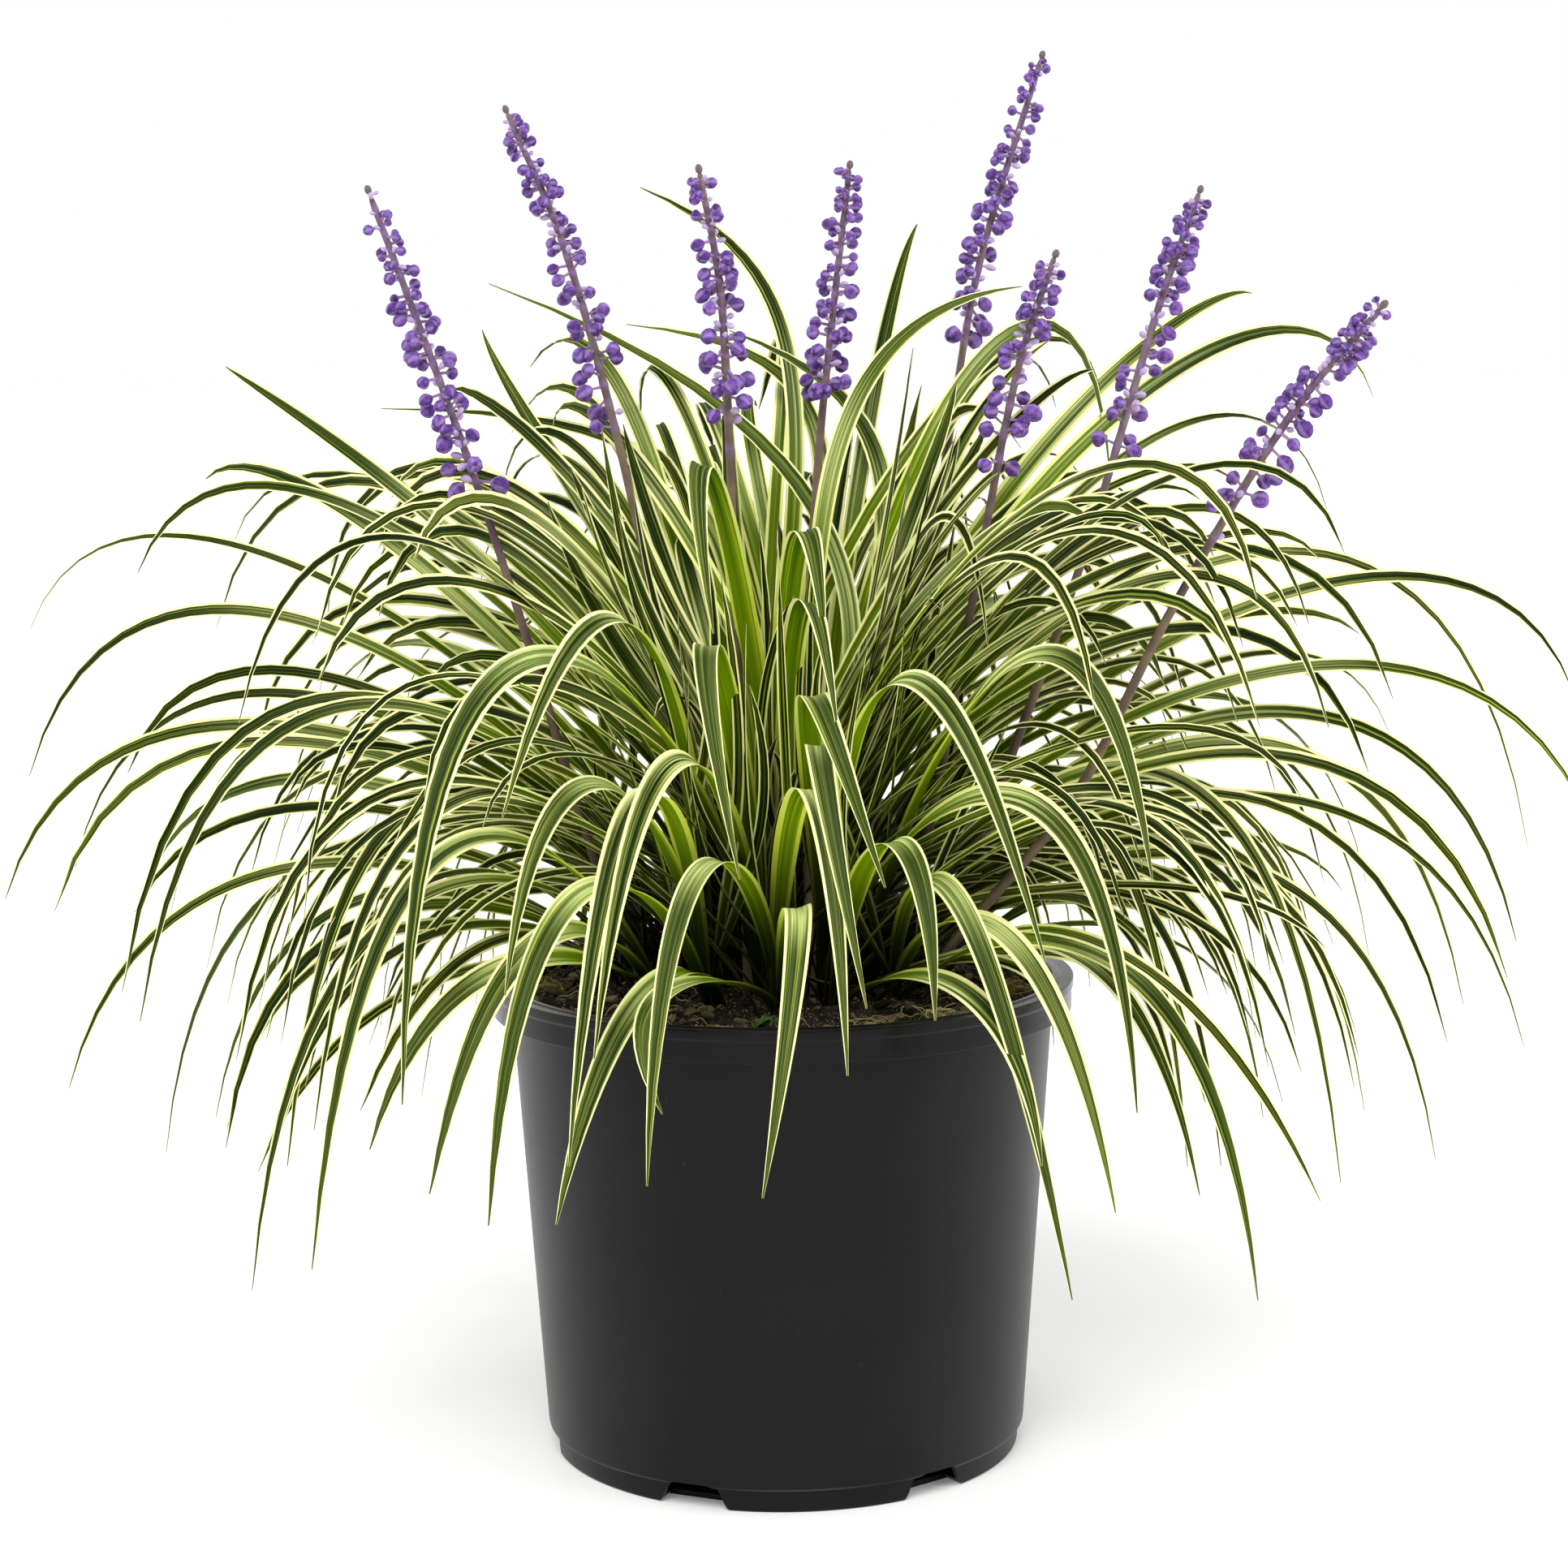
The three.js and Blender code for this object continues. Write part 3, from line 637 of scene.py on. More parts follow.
def fillerRows(rng, shoot, main, look):
    # Narrow leaves of a shoot lie between two of its main leaves and are smaller copies of them.
    # Some are young and upright, and on the outer shoots some lie low over the rim. Those of the
    # middle of the crown arch high to every side, and some of them are broader and taller or stand
    # upright. In front of the crown none hang forward: some are young there, and the rest lean out
    # to their own side. None reaches further back than the CAD clump, has its middle close over its
    # foot, or falls more steeply than a set slope to its tip.
    near = shoot["reach"]
    ring = "outer" if near > look["outerFrom"] else "middle" if near > look["middleFrom"] else "inner"
    inside = ring == "inner"
    count = look[ring]
    rows = np.zeros((count, 6))
    first = main[rng.integers(len(main), size=count)]
    second = main[rng.integers(len(main), size=count)]
    between = first + (second - first) * rng.uniform(0, 1, (count, 1))
    ground = mixHeight(near)
    shrink = 1 - look["shrinkMost"] * rng.uniform(0, 1, count) ** 1.3
    rows[:, 0] = between[:, 0] + rng.normal(0, look["scatter"], count)
    rows[:, 1] = between[:, 1] * shrink ** 0.7
    rows[:, 3] = between[:, 3] * shrink
    height = shrink ** 0.8 * rng.uniform(*look["middleHeights"], count)
    rows[:, 2] = ground + (between[:, 2] - ground) * height
    rows[:, 4] = ground + (between[:, 4] - ground) * rng.uniform(*look["tipHeights"], count)

    def place(which, name, azimuth=rows[:, 0], fromReach=0, fromHeight=0):
        # gives the chosen leaves a middle and a tip within the ranges of their kind
        many = which.sum()
        reach, height, beyond, below = (rng.uniform(*span, many) for span in leafPlaces[name])
        rows[which, 0] = azimuth[which]
        rows[which, 1] = fromReach + reach
        rows[which, 2] = fromHeight + height
        rows[which, 3] = rows[which, 1] + beyond
        rows[which, 4] = rows[which, 2] - below

    kind = rng.uniform(0, 1, count)
    place(np.full(count, inside), "crown", rng.uniform(0, 360, count))
    tall = (kind < look["tallShare"]) & inside
    place(tall, "tall")
    place(tall & (kind < look["uprightShare"]), "upright")
    place((kind > 1 - look["lowShare"]) & (ring == "outer"), "low")
    ahead = (rows[:, 0] - look["front"] + 180) % 360 - 180
    inFront = np.abs(ahead) < look["frontHalf"]
    lean = inFront & (kind > look["frontYoungShare"])
    outward = np.where(ahead + rng.normal(0, look["sideVaries"], count) < 0, -1, 1)
    place(lean, "leaning", look["front"] + outward * rng.uniform(*look["sideways"], count))
    tall = tall & ~inFront
    young = (inFront & ~lean) | ((kind < look["youngShare"]) & (not inside))
    place(young, "young", fromReach=near, fromHeight=ground)
    back = np.maximum(np.sin(np.radians(rows[:, 0])), 0.1)
    rows[:, 3] = np.minimum(rows[:, 3], look["backReach"] / back)
    rows[:, 1] = np.maximum(rows[:, 1], near + look["nearest"] * (rows[:, 3] - near))
    rows[:, 4] = np.maximum(rows[:, 4], rows[:, 2] - look["steepest"] * (rows[:, 3] - rows[:, 1]))
    width = np.select([lean | young, tall], [rng.uniform(*look["innerWidth"], count),
                                             rng.uniform(*look["mainWidth"], count)],
                      rng.uniform(*look["fillerWidth"], count))
    return rows, width


def makeLeaves(name, rng, shoot, rows, width, look, blade, cells, firstCell):
    # one kind of a shoot's leaves; a leaf that grows sideways turns its upper face to its side
    count = len(rows)
    foot = polar(shoot["azimuth"], shoot["reach"], 0.0) + rng.normal(0, blade["fan"], (count, 3))
    foot[:, 2] = mixHeight(np.linalg.norm(foot[:, :2], axis=1)) - look["sink"]
    turn = blade["turn"] * rng.normal(0, 1, count)
    sideways = np.cos(np.radians(rows[:, 0])) * rng.uniform(*look["sideTurnVaries"], count)
    turn = turn + look["sideTurn"] * sideways
    rings = leafRings(foot, polar(rows[:, 0] + rows[:, 5], rows[:, 1], rows[:, 2]),
                      polar(rows[:, 0], rows[:, 3], rows[:, 4]), width, turn,
                      look["twist"] * rng.normal(0, 1, count), blade["sway"] * rng.normal(0, 1, count),
                      look, blade)
    broad = np.clip((width - look["narrow"]) / (look["broad"] - look["narrow"]), 0.1, 1)
    marks = {"seed": rng.uniform(0, 1, count), "broad": broad}
    return makeTubes(name, rings, marks, (cells, 1), firstCell)


def makeShoot(number, shoot, finish, look):
    # one piece of both kinds of blade; the main leaves are broadest in front, and broad where tall
    rng = np.random.default_rng(look["seed"] + number)
    main = np.array([[*leaf, 0][:6] for leaf in shoot["leaves"]], float)
    main[:, 0] = shoot["azimuth"] + (main[:, 0] - shoot["azimuth"] + 180) % 360 - 180
    fillers, fillerWidth = fillerRows(rng, shoot, main, look)
    hero = np.abs((main[:, 0] - look["front"] + 180) % 360 - 180) < look["frontHalf"]
    tall = main[:, 4] > look["tallFrom"]
    mainWidth = np.select([hero, tall], [rng.uniform(*look["heroWidth"], len(main)),
                                         rng.uniform(*look["tallWidth"], len(main))],
                          rng.uniform(*look["mainWidth"], len(main)))
    cells = len(main) + len(fillers)
    piece = makeLeaves(f"striped_leaves_{number:02d}", rng, shoot, main, mainWidth, look, mainBlade,
                       cells, 0)
    narrow = makeLeaves(f"narrow_leaves_{number:02d}", rng, shoot, fillers, fillerWidth, look,
                        narrowBlade, cells, len(main))
    with bpy.context.temp_override(active_object=piece, selected_editable_objects=[piece, narrow]):
        bpy.ops.object.join()
    return rest(piece, finish, "leaf", f"leaf_shoot_{number:02d}")


stemLook = dict(stations=170, around=10, footRadius=2.9, tipRadius=1.25, taper=0.8, sink=12, rise=10,
                tipCap=0.3, collar=0.3, collarLength=0.0035, collarTone=0.8)


def throughPoints(points, count):
    # centripetal Catmull-Rom curve: each span is a cubic whose end slopes come from the
    # neighbouring spans, weighted by the square roots of their lengths
    points = np.concatenate([[2 * points[0] - points[1]], points, [2 * points[-1] - points[-2]]])
    spans = len(points) - 3
    at = np.linspace(0, spans, count)
    first = np.minimum(at.astype(int), spans - 1)
    a, b, c, d = (points[first + k] for k in range(4))
    ab, bc, cd = (np.linalg.norm(q - p, axis=1)[:, None] ** 0.5 for p, q in ((a, b), (b, c), (c, d)))
    leave = ((b - a) / ab - (c - a) / (ab + bc) + (c - b) / bc) * bc
    reach = ((c - b) / bc - (d - b) / (bc + cd) + (d - c) / cd) * bc
    t = (at - first)[:, None]
    return (b + leave * t + (3 * (c - b) - 2 * leave - reach) * t ** 2
            + (2 * (b - c) + leave + reach) * t ** 3)


def stemPath(spike, look):
    # straight up out of the mix, then through the spike's points
    ground = mixHeight(math.hypot(*spike["foot"]))
    below = [*spike["foot"], ground - look["sink"]]
    above = [*spike["foot"], ground + look["rise"]]
    return throughPoints(np.array([below, above, *spike["path"]], float), look["stations"])


def nodeShares(path, spike, look):
    # the flower nodes, from where the flowers begin to the tip, closer together as they rise
    start = np.interp(spike["flowersFrom"], path[:, 2], np.linspace(0, 1, len(path)))
    length = np.linalg.norm(path[-1] - path[int(start * (len(path) - 1))])
    count = round(length / look["nodePitch"])
    return start + (look["lastNode"] - start) * (1 - (1 - np.arange(count) / count) ** look["nodeCrowding"])


def makeStem(number, spike, finish, look, nodes):
    # a round rod whose radius falls with a power of what is left of its length, and swells at each
    # flower node by a bell curve of the distance from it
    path = stemPath(spike, look)
    along = np.linspace(0, 1, look["stations"])
    gap = np.abs(along[:, None] - nodes[None]).min(1)
    collar = np.exp(-(gap / look["collarLength"]) ** 2)
    taper = (1 - along) ** look["taper"]
    radius = look["tipRadius"] + (look["footRadius"] - look["tipRadius"]) * taper
    radius = radius + look["collar"] * collar
    radius[-1] *= look["tipCap"]
    rings = carry(path[None], np.array([0.0, 1.0, 0.0]), radius[None], look["around"])
    piece = makeTubes(f"purple_stem_{number}", rings, {"collar": collar[None] * look["collarTone"]})
    return rest(piece, finish, "stem", f"flower_stem_{number}")


budLook = dict(
    seed=500, nodePitch=6.9, nodeCrowding=1.15, nodeVaries=0.005, lastNode=0.995, perNode=4,
    around=8, lowRadius=4.1, topRadius=2.3, lowStalk=6.6, topStalk=3.4, stalkRadius=0.6,
    rise=10, riseVaries=18, smallRise=25, turn=36, turnVaries=18, smallShare=0.36, twinShare=0.36,
    smallSize=0.42, smallStalk=0.45, sizeVaries=(0.84, 1.12), stalkVaries=(0.85, 1.15),
    slender=(1.7, 2.1), smallSlender=(2.6, 3.6), lobes=0.05, droop=0.02,
    twinTurn=0.4, twinAlong=0.009, twinSmaller=0.12, twinCloser=0.05,
    fullAt=[0, 0.12, 0.3, 0.8, 1], full=[0.55, 0.8, 1, 1, 0.8],
    stalkAt=[0, 0.95, 1, 1, 1, 1, 1, 1], stalkWide=[1.3, 1, 0, 0, 0, 0, 0, 0],
    budAt=[0, 0, 0.1, 0.32, 0.58, 0.8, 0.94, 1], budWide=[0, 0, 0.56, 0.95, 1, 0.8, 0.48, 0.12],
    lastBud=1.7, lastStalk=1.2, lastSlender=2.6,
)


def budRows(rng, nodes, look):
    # The buds of a node stand in front and behind on either side of the stem. Some are small, some
    # have a twin beside them, and fewer are there where the flowers begin and end.
    each = look["perNode"]
    share = np.repeat((nodes - nodes[0]) / (nodes[-1] - nodes[0]), each)
    count = len(share)
    azimuth = np.tile([look["turn"], 180 - look["turn"], 180 + look["turn"], -look["turn"]], len(nodes))
    azimuth = np.radians(azimuth + rng.normal(0, look["turnVaries"], count))
    at = np.repeat(nodes, each) + rng.normal(0, look["nodeVaries"], count)
    size = rng.uniform(*look["sizeVaries"], count)
    reach = rng.uniform(*look["stalkVaries"], count)
    small = rng.uniform(0, 1, count) < look["smallShare"]
    size = np.where(small, size * look["smallSize"], size)
    reach = np.where(small, reach * look["smallStalk"], reach)
    keep = rng.uniform(0, 1, count) < np.interp(share, look["fullAt"], look["full"])
    twin = keep & (rng.uniform(0, 1, count) < look["twinShare"]) & ~small
    pick = np.concatenate([np.flatnonzero(keep), np.flatnonzero(twin)])
    isTwin = np.arange(len(pick)) >= keep.sum()
    share = share[pick]
    azimuth = azimuth[pick] + look["twinTurn"] * isTwin
    at = at[pick] + look["twinAlong"] * isTwin
    size = size[pick] * (1 - look["twinSmaller"] * isTwin)
    reach = reach[pick] * (1 - look["twinCloser"] * isTwin)
    return share, azimuth, np.clip(at, 0, 1), size, reach, small[pick]


def makeBuds(number, spike, finish, look, nodes):
    # Each bud is one skin carried along a line that droops with the square of its length: a thin
    # stalk from the stem, then a round bud of three faint lobes, 1 + a cosine of three turns. Its
    # stations are shares of the stalk and of the bud, and so are its radii.
    rng = np.random.default_rng(look["seed"] + number)
    share, azimuth, at, size, reach, small = budRows(rng, nodes, look)
    count = len(share)
    path = stemPath(spike, stemLook)
    places = np.linspace(0, 1, len(path))
    point, up = (np.stack([np.interp(at, places, line[:, k]) for k in range(3)], -1)
                 for line in (path, np.gradient(path, axis=0)))
    up = unit(up)
    east = unit(np.cross([0.0, 1.0, 0.0], up))
    north = np.cross(up, east)
    out = east * np.cos(azimuth)[:, None] + north * np.sin(azimuth)[:, None]
    lift = look["rise"] + look["smallRise"] * small + rng.normal(0, look["riseVaries"], count)
    lift = np.radians(lift)[:, None]
    aim = out * np.cos(lift) + up * np.sin(lift)

    bud = (look["lowRadius"] + (look["topRadius"] - look["lowRadius"]) * share) * size
    stalk = (look["lowStalk"] + (look["topStalk"] - look["lowStalk"]) * share) * reach
    slender = np.where(small, rng.uniform(*look["smallSlender"], count),
                       rng.uniform(*look["slender"], count))

    # one last bud closes the spike, pointing on along the stem
    point, aim, out, up = (np.concatenate([a, b[None]]) for a, b in
                           ((point, path[-1] - 2 * up[-1]), (aim, up[-1]), (out, out[-1]), (up, up[-1])))
    bud, stalk, slender = (np.append(a, look[b]) for a, b in
                           ((bud, "lastBud"), (stalk, "lastStalk"), (slender, "lastSlender")))
    last = np.append(np.zeros(count), 1.0)
    closed = np.append(small, 0.0)

    stalkAt, budAt, stalkWide, budWide = (np.array(look[key]) for key in
                                          ("stalkAt", "budAt", "stalkWide", "budWide"))
    distance = stalk[:, None] * stalkAt + (bud * slender)[:, None] * budAt
    radius = look["stalkRadius"] * stalkWide + bud[:, None] * budWide
    paths = point[:, None] + aim[:, None] * distance[..., None]
    droop = -look["droop"] * distance ** 2 * (1 - last)[:, None]
    paths = paths + upward * droop[..., None]
    guide = np.cross(aim, up + 0.01 * out)
    guide[-1] = out[-1]
    rings = carry(paths, unit(guide)[:, None], radius, look["around"])
    turn = np.arange(look["around"]) * 2 * np.pi / look["around"]
    lobes = 1 + look["lobes"] * np.cos(3 * turn + rng.uniform(0, 6, (count + 1, 1)))
    middle = paths[:, :, None]
    rings = middle + (rings - middle) * lobes[:, None, :, None]
    marks = {"seed": rng.uniform(0, 1, count + 1), "last": last, "closed": closed}
    piece = makeTubes(f"violet_buds_{number}", rings, marks, sharpAngle=80)
    return rest(piece, finish, "flower", f"flower_cluster_{number}")


potLook = dict(
    around=216, height=229, rimRadius=140, bead=5, proud=0.8, rimThickness=1.8, rimDepth=3, skirt=15,
    wallTopRadius=130.5, wallTopHeight=223, wallFootRadius=116, wallFootHeight=12.5, wall=1.8,
    floor=2.5, ringRadius=113, ringHeight=10.5,
    slots=6, slotStart=7.5, slotHeight=12, slotFootWidth=34, slotTopWidth=22.5, slotCorner=4.5,
    slotInward=13, slotOutward=19, slotBelow=2, slotLip=0.4, slotFlare=6, sharpAngle=32,
)


def rounded(points, radius, steps):
    # each inner corner of an open outline becomes a quadratic curve that leaves and meets its two
    # edges at the given distance from the corner, or at under half of a short edge
    points = np.array(points, float)
    before, corner, after = points[:-2], points[1:-1], points[2:]
    ways = []
    for other in (before, after):
        gap = np.linalg.norm(other - corner, axis=1, keepdims=True)
        ways.append(corner + (other - corner) / gap * np.minimum(np.array(radius)[:, None], 0.45 * gap))
    t = np.linspace(0, 1, steps)[:, None]
    curves = ((1 - t) ** 2 * ways[0][:, None] + 2 * t * (1 - t) * corner[:, None]
              + t ** 2 * ways[1][:, None])
    return np.concatenate([points[:1], curves.reshape(-1, 2), points[-1:]])


def filled(outline, longest):
    # adds points so that no step of an outline is longer than the given length
    parts = [np.linspace(a, b, max(2, math.ceil(np.linalg.norm(b - a) / longest) + 1))[:-1]
             for a, b in zip(outline[:-1], outline[1:])]
    return np.concatenate([*parts, outline[-1:]])


def lathed(profile, around):
    # radius and height turned round the axis: (r cos, r sin, z)
    turn = np.arange(around) * 2 * np.pi / around
    r, z = profile[:, 0, None], profile[:, 1, None]
    return np.stack(np.broadcast_arrays(r * np.cos(turn), r * np.sin(turn), z), -1)


def potProfile(look):
    # radius and height of the outline from the middle of the underside, up the outside, over the
    # rim and down the inside to the middle of the floor, with its corners rounded
    top, rim, wall, floor = (look[key] for key in ("height", "rimRadius", "wall", "floor"))
    wallTop, wallFoot = look["wallTopRadius"], look["wallFootRadius"]
    ring, ringTop = look["ringRadius"], look["ringHeight"]
    skirt, skirtFoot = rim - look["proud"], top - look["skirt"]
    skirtInside, underRim = skirt - look["rimThickness"], top - look["rimDepth"]
    beadFoot = top - look["bead"]
    inside = ring - wall - 1
    points = [
        [0.2, 0], [ring, 0], [ring, ringTop], [wallFoot - 0.2, ringTop + 0.5],
        [wallFoot, look["wallFootHeight"]], [wallTop, look["wallTopHeight"]],
        [wallTop + 2, underRim], [skirtInside, underRim], [skirtInside, skirtFoot],
        [skirt, skirtFoot], [skirt, beadFoot], [rim, beadFoot + look["proud"]], [rim, top],
        [wallTop + 3.2, top - 0.5], [wallTop + 2.4, top], [wallTop - 0.4, top],
        [wallTop - wall, top - 4], [wallFoot - wall, ringTop + 1],
        [inside, ringTop - 1], [inside, floor], [0.2, floor],
    ]
    corner = [1.6, 0.5, 0.4, 1.2, 3, 1, 0.5, 0.5, 0.6, 0.7, 0.4, 0.4, 2.2, 0.8, 0.6, 1.2, 2, 1, 1]
    return filled(rounded(points, corner, 5), 6)


def makePot(finish, look):
    # the outline turned round the axis, less a slot cutter at each even step round the foot ring: the
    # slot's outline, radially from inside the ring to outside
    pot = makeTubes("nursery_pot_shell", lathed(potProfile(look), look["around"])[None])
    foot, top, high = look["slotFootWidth"] / 2, look["slotTopWidth"] / 2, look["slotHeight"]
    flare, lip = foot + look["slotFlare"], -look["slotLip"]
    half = np.array([[flare + 1, -look["slotBelow"]], [flare, lip], [foot, lip], [top, high]])
    outline = rounded([*half, *(half[::-1] * [-1, 1])], [0.1, *[look["slotCorner"]] * 4, 0.1], 6)
    for k in range(look["slots"]):
        turn = math.radians(look["slotStart"] + k * 360 / look["slots"])
        out = np.array([math.cos(turn), math.sin(turn), 0])
        side = np.array([-math.sin(turn), math.cos(turn), 0])
        face = side * outline[:, :1] + upward * outline[:, 1:]
        rings = np.stack([face + out * (look["ringRadius"] - look["slotInward"]),
                          face + out * (look["ringRadius"] + look["slotOutward"])])
        cutter = makeTubes(f"slot_cutter_{k}", rings[None])
        cut = pot.modifiers.new("slot", "BOOLEAN")
        cut.object = cutter
        cut.solver = "EXACT"
        solid = bpy.data.meshes.new_from_object(pot.evaluated_get(bpy.context.evaluated_depsgraph_get()))
        pot.modifiers.clear()
        pot.data = solid
        bpy.data.objects.remove(cutter)
    pot.data.uv_layers.remove(pot.data.uv_layers["OFBake"])
    pot.data.polygons.foreach_set("use_smooth", np.ones(len(pot.data.polygons), bool))
    pot.data.set_sharp_from_angle(angle=math.radians(look["sharpAngle"]))
    return rest(pot, finish, "pot_plastic", "nursery_pot")


mixLook = dict(around=200, bottom=2.9, chamfer=17, wallGap=2.5, lumps=1.5, crumbs=0.7, ring=2.4,
               lumpSize=17, crumbSize=6, below=0.5, flatFrom=118, edge=128)


def surfaceHeight(x, y, look):
    # the domed surface with lumps and crumbs of crossing waves, flat against the wall
    reach = np.hypot(x, y)
    rough = (look["lumps"] * waves(x, y, look["lumpSize"], 14, 1)
             + look["crumbs"] * waves(x, y, look["crumbSize"], 16, 2))
    flat = ramp(reach, look["flatFrom"], look["edge"])
    return mixHeight(reach) + rough * (1 - flat) - look["below"]


def makeMix(finish, look, pot):
    # the inside of the pot less a gap, turned round the axis, under rings of the domed surface
    rise = pot["wallTopHeight"] - pot["wallFootHeight"]
    slope = (pot["wallTopRadius"] - pot["wallFootRadius"]) / rise
    foot = pot["wallFootRadius"] - look["wallGap"]
    shoulder = look["bottom"] + look["chamfer"]
    edge, side = (foot + slope * (height - pot["wallFootHeight"])
                  for height in (mixHeight(look["edge"]), shoulder))
    below = filled(np.array([[0.2, look["bottom"]],
                             [pot["ringRadius"] - look["wallGap"] - look["chamfer"], look["bottom"]],
                             [side, shoulder], [edge, mixHeight(edge) - 1]]), 20)
    reach = np.arange(edge, 0.2, -look["ring"])
    above = np.stack([reach, mixHeight(reach)], -1)
    rings = lathed(np.concatenate([below, above]), look["around"])
    top = rings[len(below):]
    top[..., 2] = surfaceHeight(top[..., 0], top[..., 1], look)
    piece = makeTubes("potting_mix_surface", rings[None])
    piece.data.uv_layers.remove(piece.data.uv_layers["OFBake"])
    return rest(piece, finish, "potting_mix", "potting_mix")


barkLook = dict(seed=31, count=520, size=(1.6, 5.2), length=(1.2, 2.6), reach=124, around=6,
                above=0.25, lean=0.25, rough=0.09, ringVaries=(0.7, 1.2),
                ringAt=[-0.5, -0.375, 0.35, 0.5], ringWide=[0.18, 0.42, 0.4, 0.12])


def makeBark(finish, look):
    # each bit is a short knobbly rod lying on the mix: random radii on four rings of six points, and
    # each point moved a little. Small bits are more frequent, by the square of a random share.
    rng = np.random.default_rng(look["seed"])
    count = look["count"]
    reach = look["reach"] * np.sqrt(rng.uniform(0.05, 1, count))
    turn = rng.uniform(0, 2 * np.pi, count)
    size = rng.uniform(0, 1, count) ** 2 * (look["size"][1] - look["size"][0]) + look["size"][0]
    x, y = reach * np.cos(turn), reach * np.sin(turn)
    middle = np.stack([x, y, surfaceHeight(x, y, mixLook) + look["above"] * size], -1)
    heading = rng.uniform(0, 2 * np.pi, count)
    lean = rng.normal(0, look["lean"], count)
    axis = np.stack([np.cos(heading) * np.cos(lean), np.sin(heading) * np.cos(lean), np.sin(lean)], -1)
    steps = np.array(look["ringAt"]) * (size * rng.uniform(*look["length"], count))[:, None]
    paths = middle[:, None] + axis[:, None] * steps[..., None]
    radius = np.array(look["ringWide"]) * rng.uniform(*look["ringVaries"], steps.shape)
    radius = size[:, None] * radius
    rings = carry(paths, upward, radius, look["around"])
    rings = rings + rng.normal(0, look["rough"], rings.shape) * size[:, None, None, None]
    piece = makeTubes("bark_bits", rings, {"seed": rng.uniform(0, 1, count) ** 2}, sharpAngle=40)
    return rest(piece, finish, "potting_mix")


fibreLook = dict(seed=47, loose=90, perMat=34, stations=26, around=5, radius=(0.22, 0.5), reach=122,
                 edge=126, above=0.3, rise=(0.1, 1.6), matRise=3, matSpread=3, drift=0.4, narrower=0.75,
                 matSize=(2.5, 10), looseSize=(5, 16), matSweep=(3, 7), looseSweep=(0.6, 2.4),
                 matAzimuth=[350, 337, 186, 311, 290, 255], matReach=[112, 100, 113, 115, 118, 118])


def makeFibres(finish, look):
    # Loose fibres are short arcs on the mix, and those of a mat are loops round its middle. Each is
    # centre + size * (cos, sin of a turning angle), drifting with the square of the share along,
    # rising by a sine and kept inside the pot.
    rng = np.random.default_rng(look["seed"])
    mats = polar(np.array(look["matAzimuth"]), np.array(look["matReach"]), 0)
    inMat = len(mats) * look["perMat"]
    count = look["loose"] + inMat
    reach = look["reach"] * np.sqrt(rng.uniform(0.25, 1, look["loose"]))
    loose = polar(rng.uniform(0, 360, look["loose"]), reach, 0)
    spread = rng.normal(0, look["matSpread"], (inMat, 3))
    centre = np.concatenate([loose, np.repeat(mats, look["perMat"], 0) + spread])
    isMat = np.arange(count) >= look["loose"]
    size = np.where(isMat, rng.uniform(*look["matSize"], count), rng.uniform(*look["looseSize"], count))
    sweep = np.where(isMat, rng.uniform(*look["matSweep"], count),
                     rng.uniform(*look["looseSweep"], count))
    along = np.linspace(0, 1, look["stations"])
    angle = rng.uniform(0, 2 * np.pi, count)[:, None] + sweep[:, None] * along
    drift = size[:, None] * look["drift"] * along ** 2
    drift = rng.normal(0, 1, (count, 2))[:, None] * drift[..., None]
    x = centre[:, :1] + size[:, None] * np.cos(angle) + drift[..., 0]
    y = centre[:, 1:2] + size[:, None] * np.sin(angle) * look["narrower"] + drift[..., 1]
    far = np.maximum(1, np.hypot(x, y) / look["edge"])
    x, y = x / far, y / far
    high = rng.uniform(*look["rise"], count) + np.where(isMat, rng.uniform(0, look["matRise"], count), 0)
    z = surfaceHeight(x, y, mixLook) + look["above"] + high[:, None] * np.sin(np.pi * along)
    paths = np.stack([x, y, z], -1)
    radius = rng.uniform(*look["radius"], count)[:, None] * (1 - 0.5 * np.abs(2 * along - 1) ** 3)
    rings = carry(paths, upward, radius, look["around"])
    piece = makeTubes("root_fibres", rings, {"seed": rng.uniform(0, 1, count)})
    return rest(piece, finish, "potting_mix")


# A seedling's leaf has an azimuth, then the reach and height of its middle and of its tip.
seedlingLook = dict(leafLook, thickness=0.5, keel=0.1, fold=[0.3, 0.1, 0.1, 0.3], place=(-9, -117),
                    width=5.5, leaves=[[250, 4, 6.5, 9, 6], [320, 3.5, 7.5, 8, 7],
                                       [195, 3.5, 6, 8, 6.5], [60, 3, 7, 7, 7.5]])


def makeSeedling(finish, look):
    # a weed seedling near the rim: short broad leaves from one foot
    azimuth, midReach, midHeight, tipReach, tipHeight = np.array(look["leaves"], float).T
    count = len(azimuth)
    x, y = look["place"]
    foot = np.repeat([[x, y, surfaceHeight(np.array([x]), np.array([y]), mixLook)[0] - 1]], count, 0)
    still = np.zeros(count)
    rings = leafRings(foot, foot + polar(azimuth, midReach, midHeight),
                      foot + polar(azimuth, tipReach, tipHeight), np.full(count, look["width"]),
                      still, still, still, look, mainBlade)
    marks = {"seed": np.full(count, 0.5), "broad": np.ones(count)}
    return rest(makeTubes("seedling", rings, marks, (count, 1)), finish, "leaf")


studio = dict(distance=1.5, height=0.514, pitch=7.35, roll=0.57, focalPixels=3896, framePixels=1932,
              centreLeft=5,
              world=1.0, front=0.3, frontRight=0.45, overhead=0.4, floorGlow=0.14, floorHalf=200,
              floorTones=[(0.93, 0.93, 0.93, 1), (0.95, 0.95, 0.95, 1)],
              lights=[("top", 2.5, 38, 258, 52), ("right", 1.25, 50, 352, 24), ("left", 1.0, 50, 160, 22)])


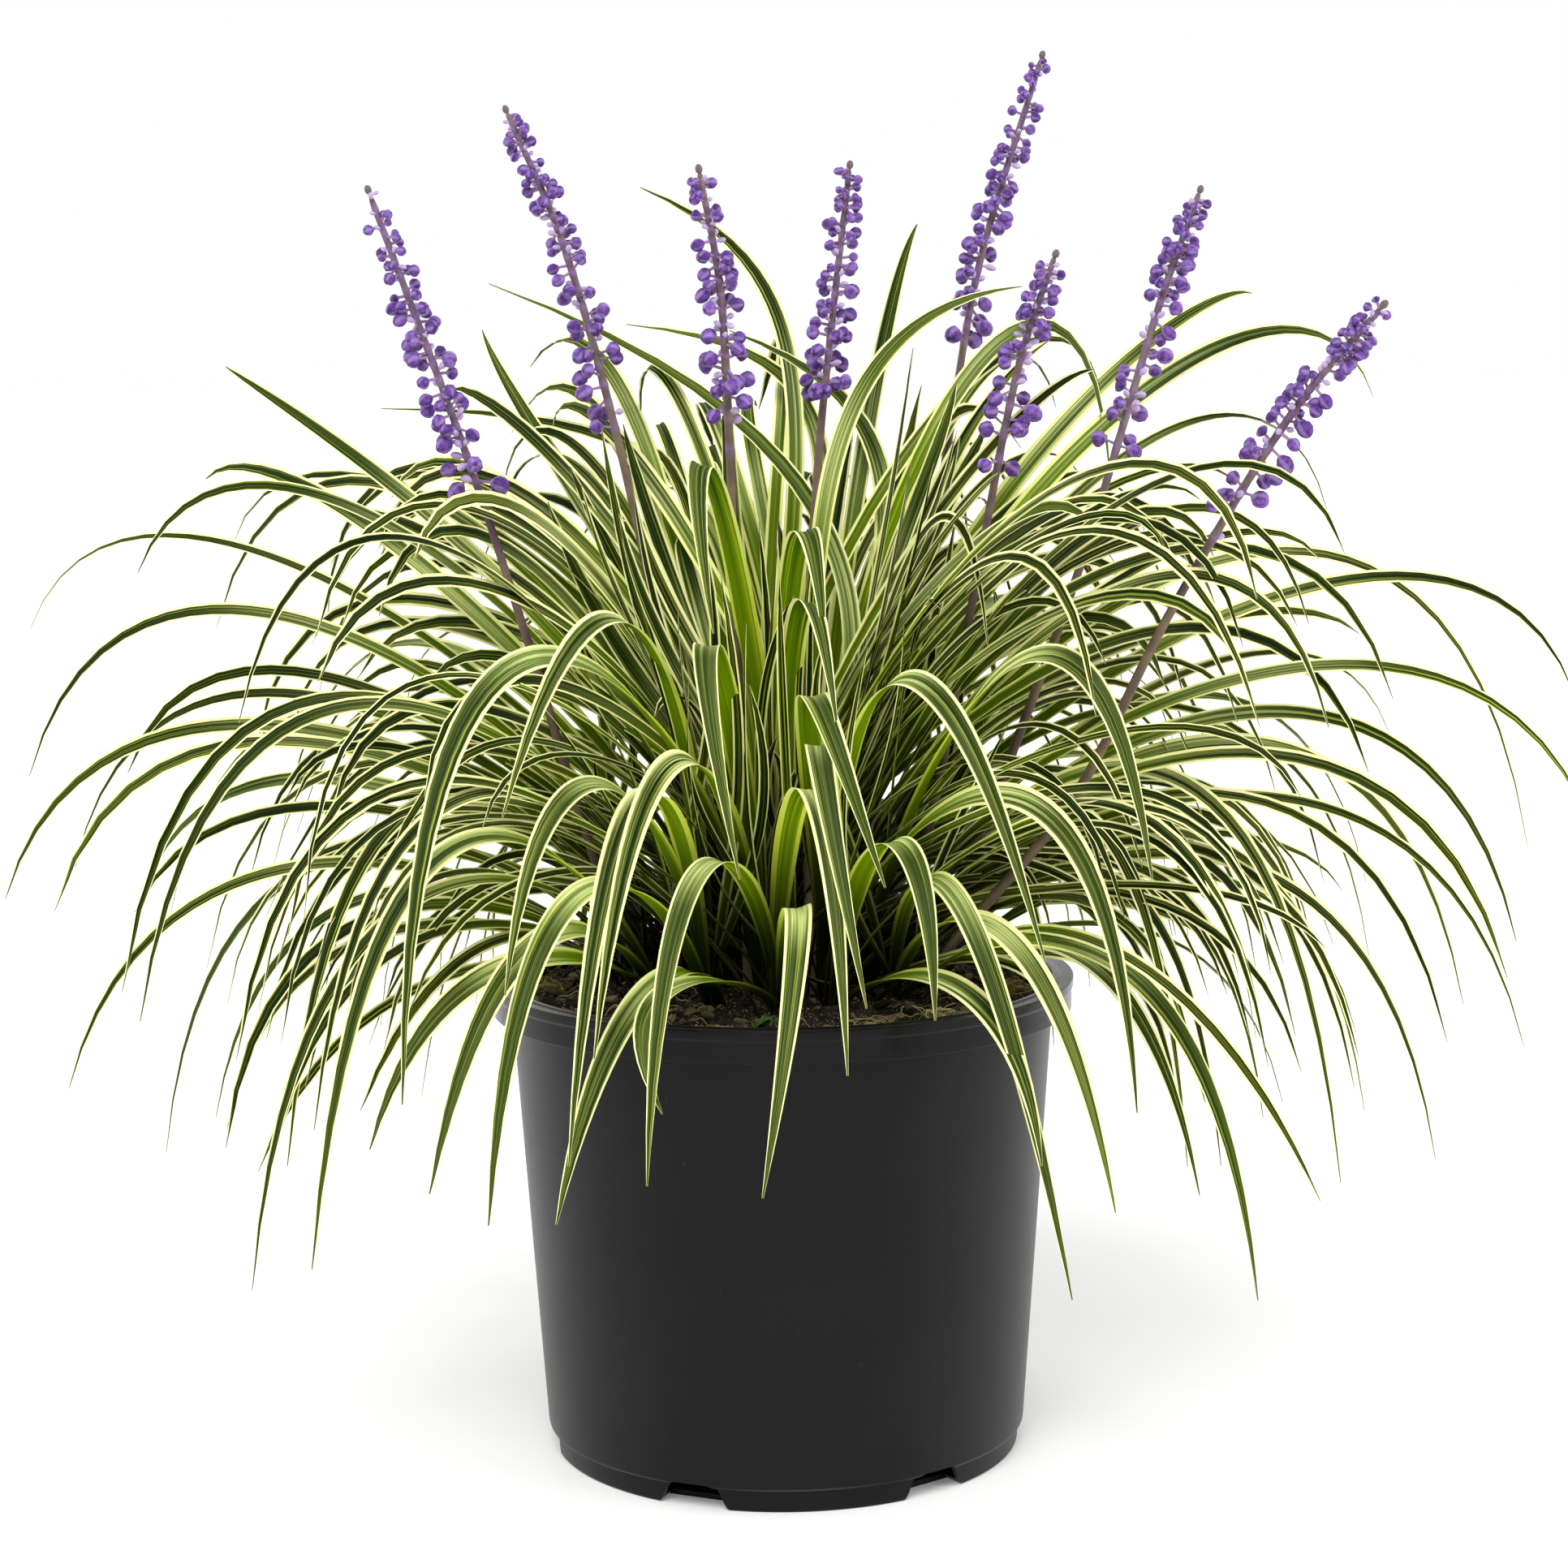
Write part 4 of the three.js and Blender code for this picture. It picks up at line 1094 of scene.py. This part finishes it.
def makeCamera(look):
    data = bpy.data.cameras.new("camera")
    data.sensor_width = 36
    data.lens = look["focalPixels"] / look["framePixels"] * data.sensor_width
    data.shift_x = look["centreLeft"] / look["framePixels"]
    camera = add("camera", data)
    tilt = Matrix.Rotation(math.radians(90 - look["pitch"]), 4, "X")
    roll = Matrix.Rotation(math.radians(-look["roll"]), 4, "Z")
    camera.matrix_world = Matrix.Translation((0, -look["distance"], look["height"])) @ tilt @ roll
    bpy.context.scene.camera = camera


def makeLight(name, strength, angle, azimuth, elevation):
    data = bpy.data.lights.new(name, "SUN")
    data.energy = strength
    data.angle = math.radians(angle)
    light = add(name, data)
    light.rotation_euler = (math.radians(90 - elevation), 0, math.radians(azimuth + 90))


def makeStudio(look):
    bpy.context.scene.view_settings.view_transform = "Standard"
    world = bpy.data.worlds.new("studio")
    bpy.context.scene.world = world
    world.use_nodes = True
    sky = Nodes(world.node_tree)
    background = world.node_tree.nodes["Background"]
    background.inputs["Color"].default_value = (1, 1, 1, 1)
    right, away, above = sky.axes(sky.node("ShaderNodeTexCoord", output="Generated"), "XYZ")
    near = look["front"] + sky.ease(right, 0.4, 0.95) * look["frontRight"]
    behind = sky.ease(away, -0.5, 0.5)
    glow = (1 - behind) * near + behind * look["world"]
    glow = glow * (1 - sky.ease(above, 0.4, 0.8) * (1 - look["overhead"]))
    world.node_tree.links.new(glow.socket, background.inputs["Strength"])
    for light in look["lights"]:
        makeLight(*light)
    floor = bpy.data.meshes.new("floor")
    half = look["floorHalf"]
    floor.from_pydata([(-half, -half, 0), (half, -half, 0), (half, half, 0), (-half, half, 0)], [],
                      [(0, 1, 2, 3)])
    floor.materials.append(floorFinish(look))
    add("floor", floor)


makeCamera(studio)
makeStudio(studio)
print("studio ready")

makePot(potFinish(potTones), potLook)
makeMix(mixFinish(mixTones), mixLook, potLook)
makeBark(crumbFinish("barkBits", mixTones["barkDark"], mixTones["barkLight"]), barkLook)
makeFibres(crumbFinish("tanFibres", mixTones["fibreDark"], mixTones["fibreLight"]), fibreLook)
makeSeedling(leafFinish("seedlingLeaf", weedTones), seedlingLook)
print("pot and potting mix made")

striped = leafFinish("stripedLeaf", leafTones)
for number, shoot in enumerate(shoots, 1):
    makeShoot(number, shoot, striped, leafLook)
print("leaves made:", len(shoots), "shoots")

purple = stemFinish(stemTones)
violet = budFinish(budTones)
for number, spike in enumerate(spikes, 1):
    nodes = nodeShares(stemPath(spike, stemLook), spike, budLook)
    makeStem(number, spike, purple, stemLook, nodes)
    makeBuds(number, spike, violet, budLook, nodes)
print("flower spikes made:", len(spikes))
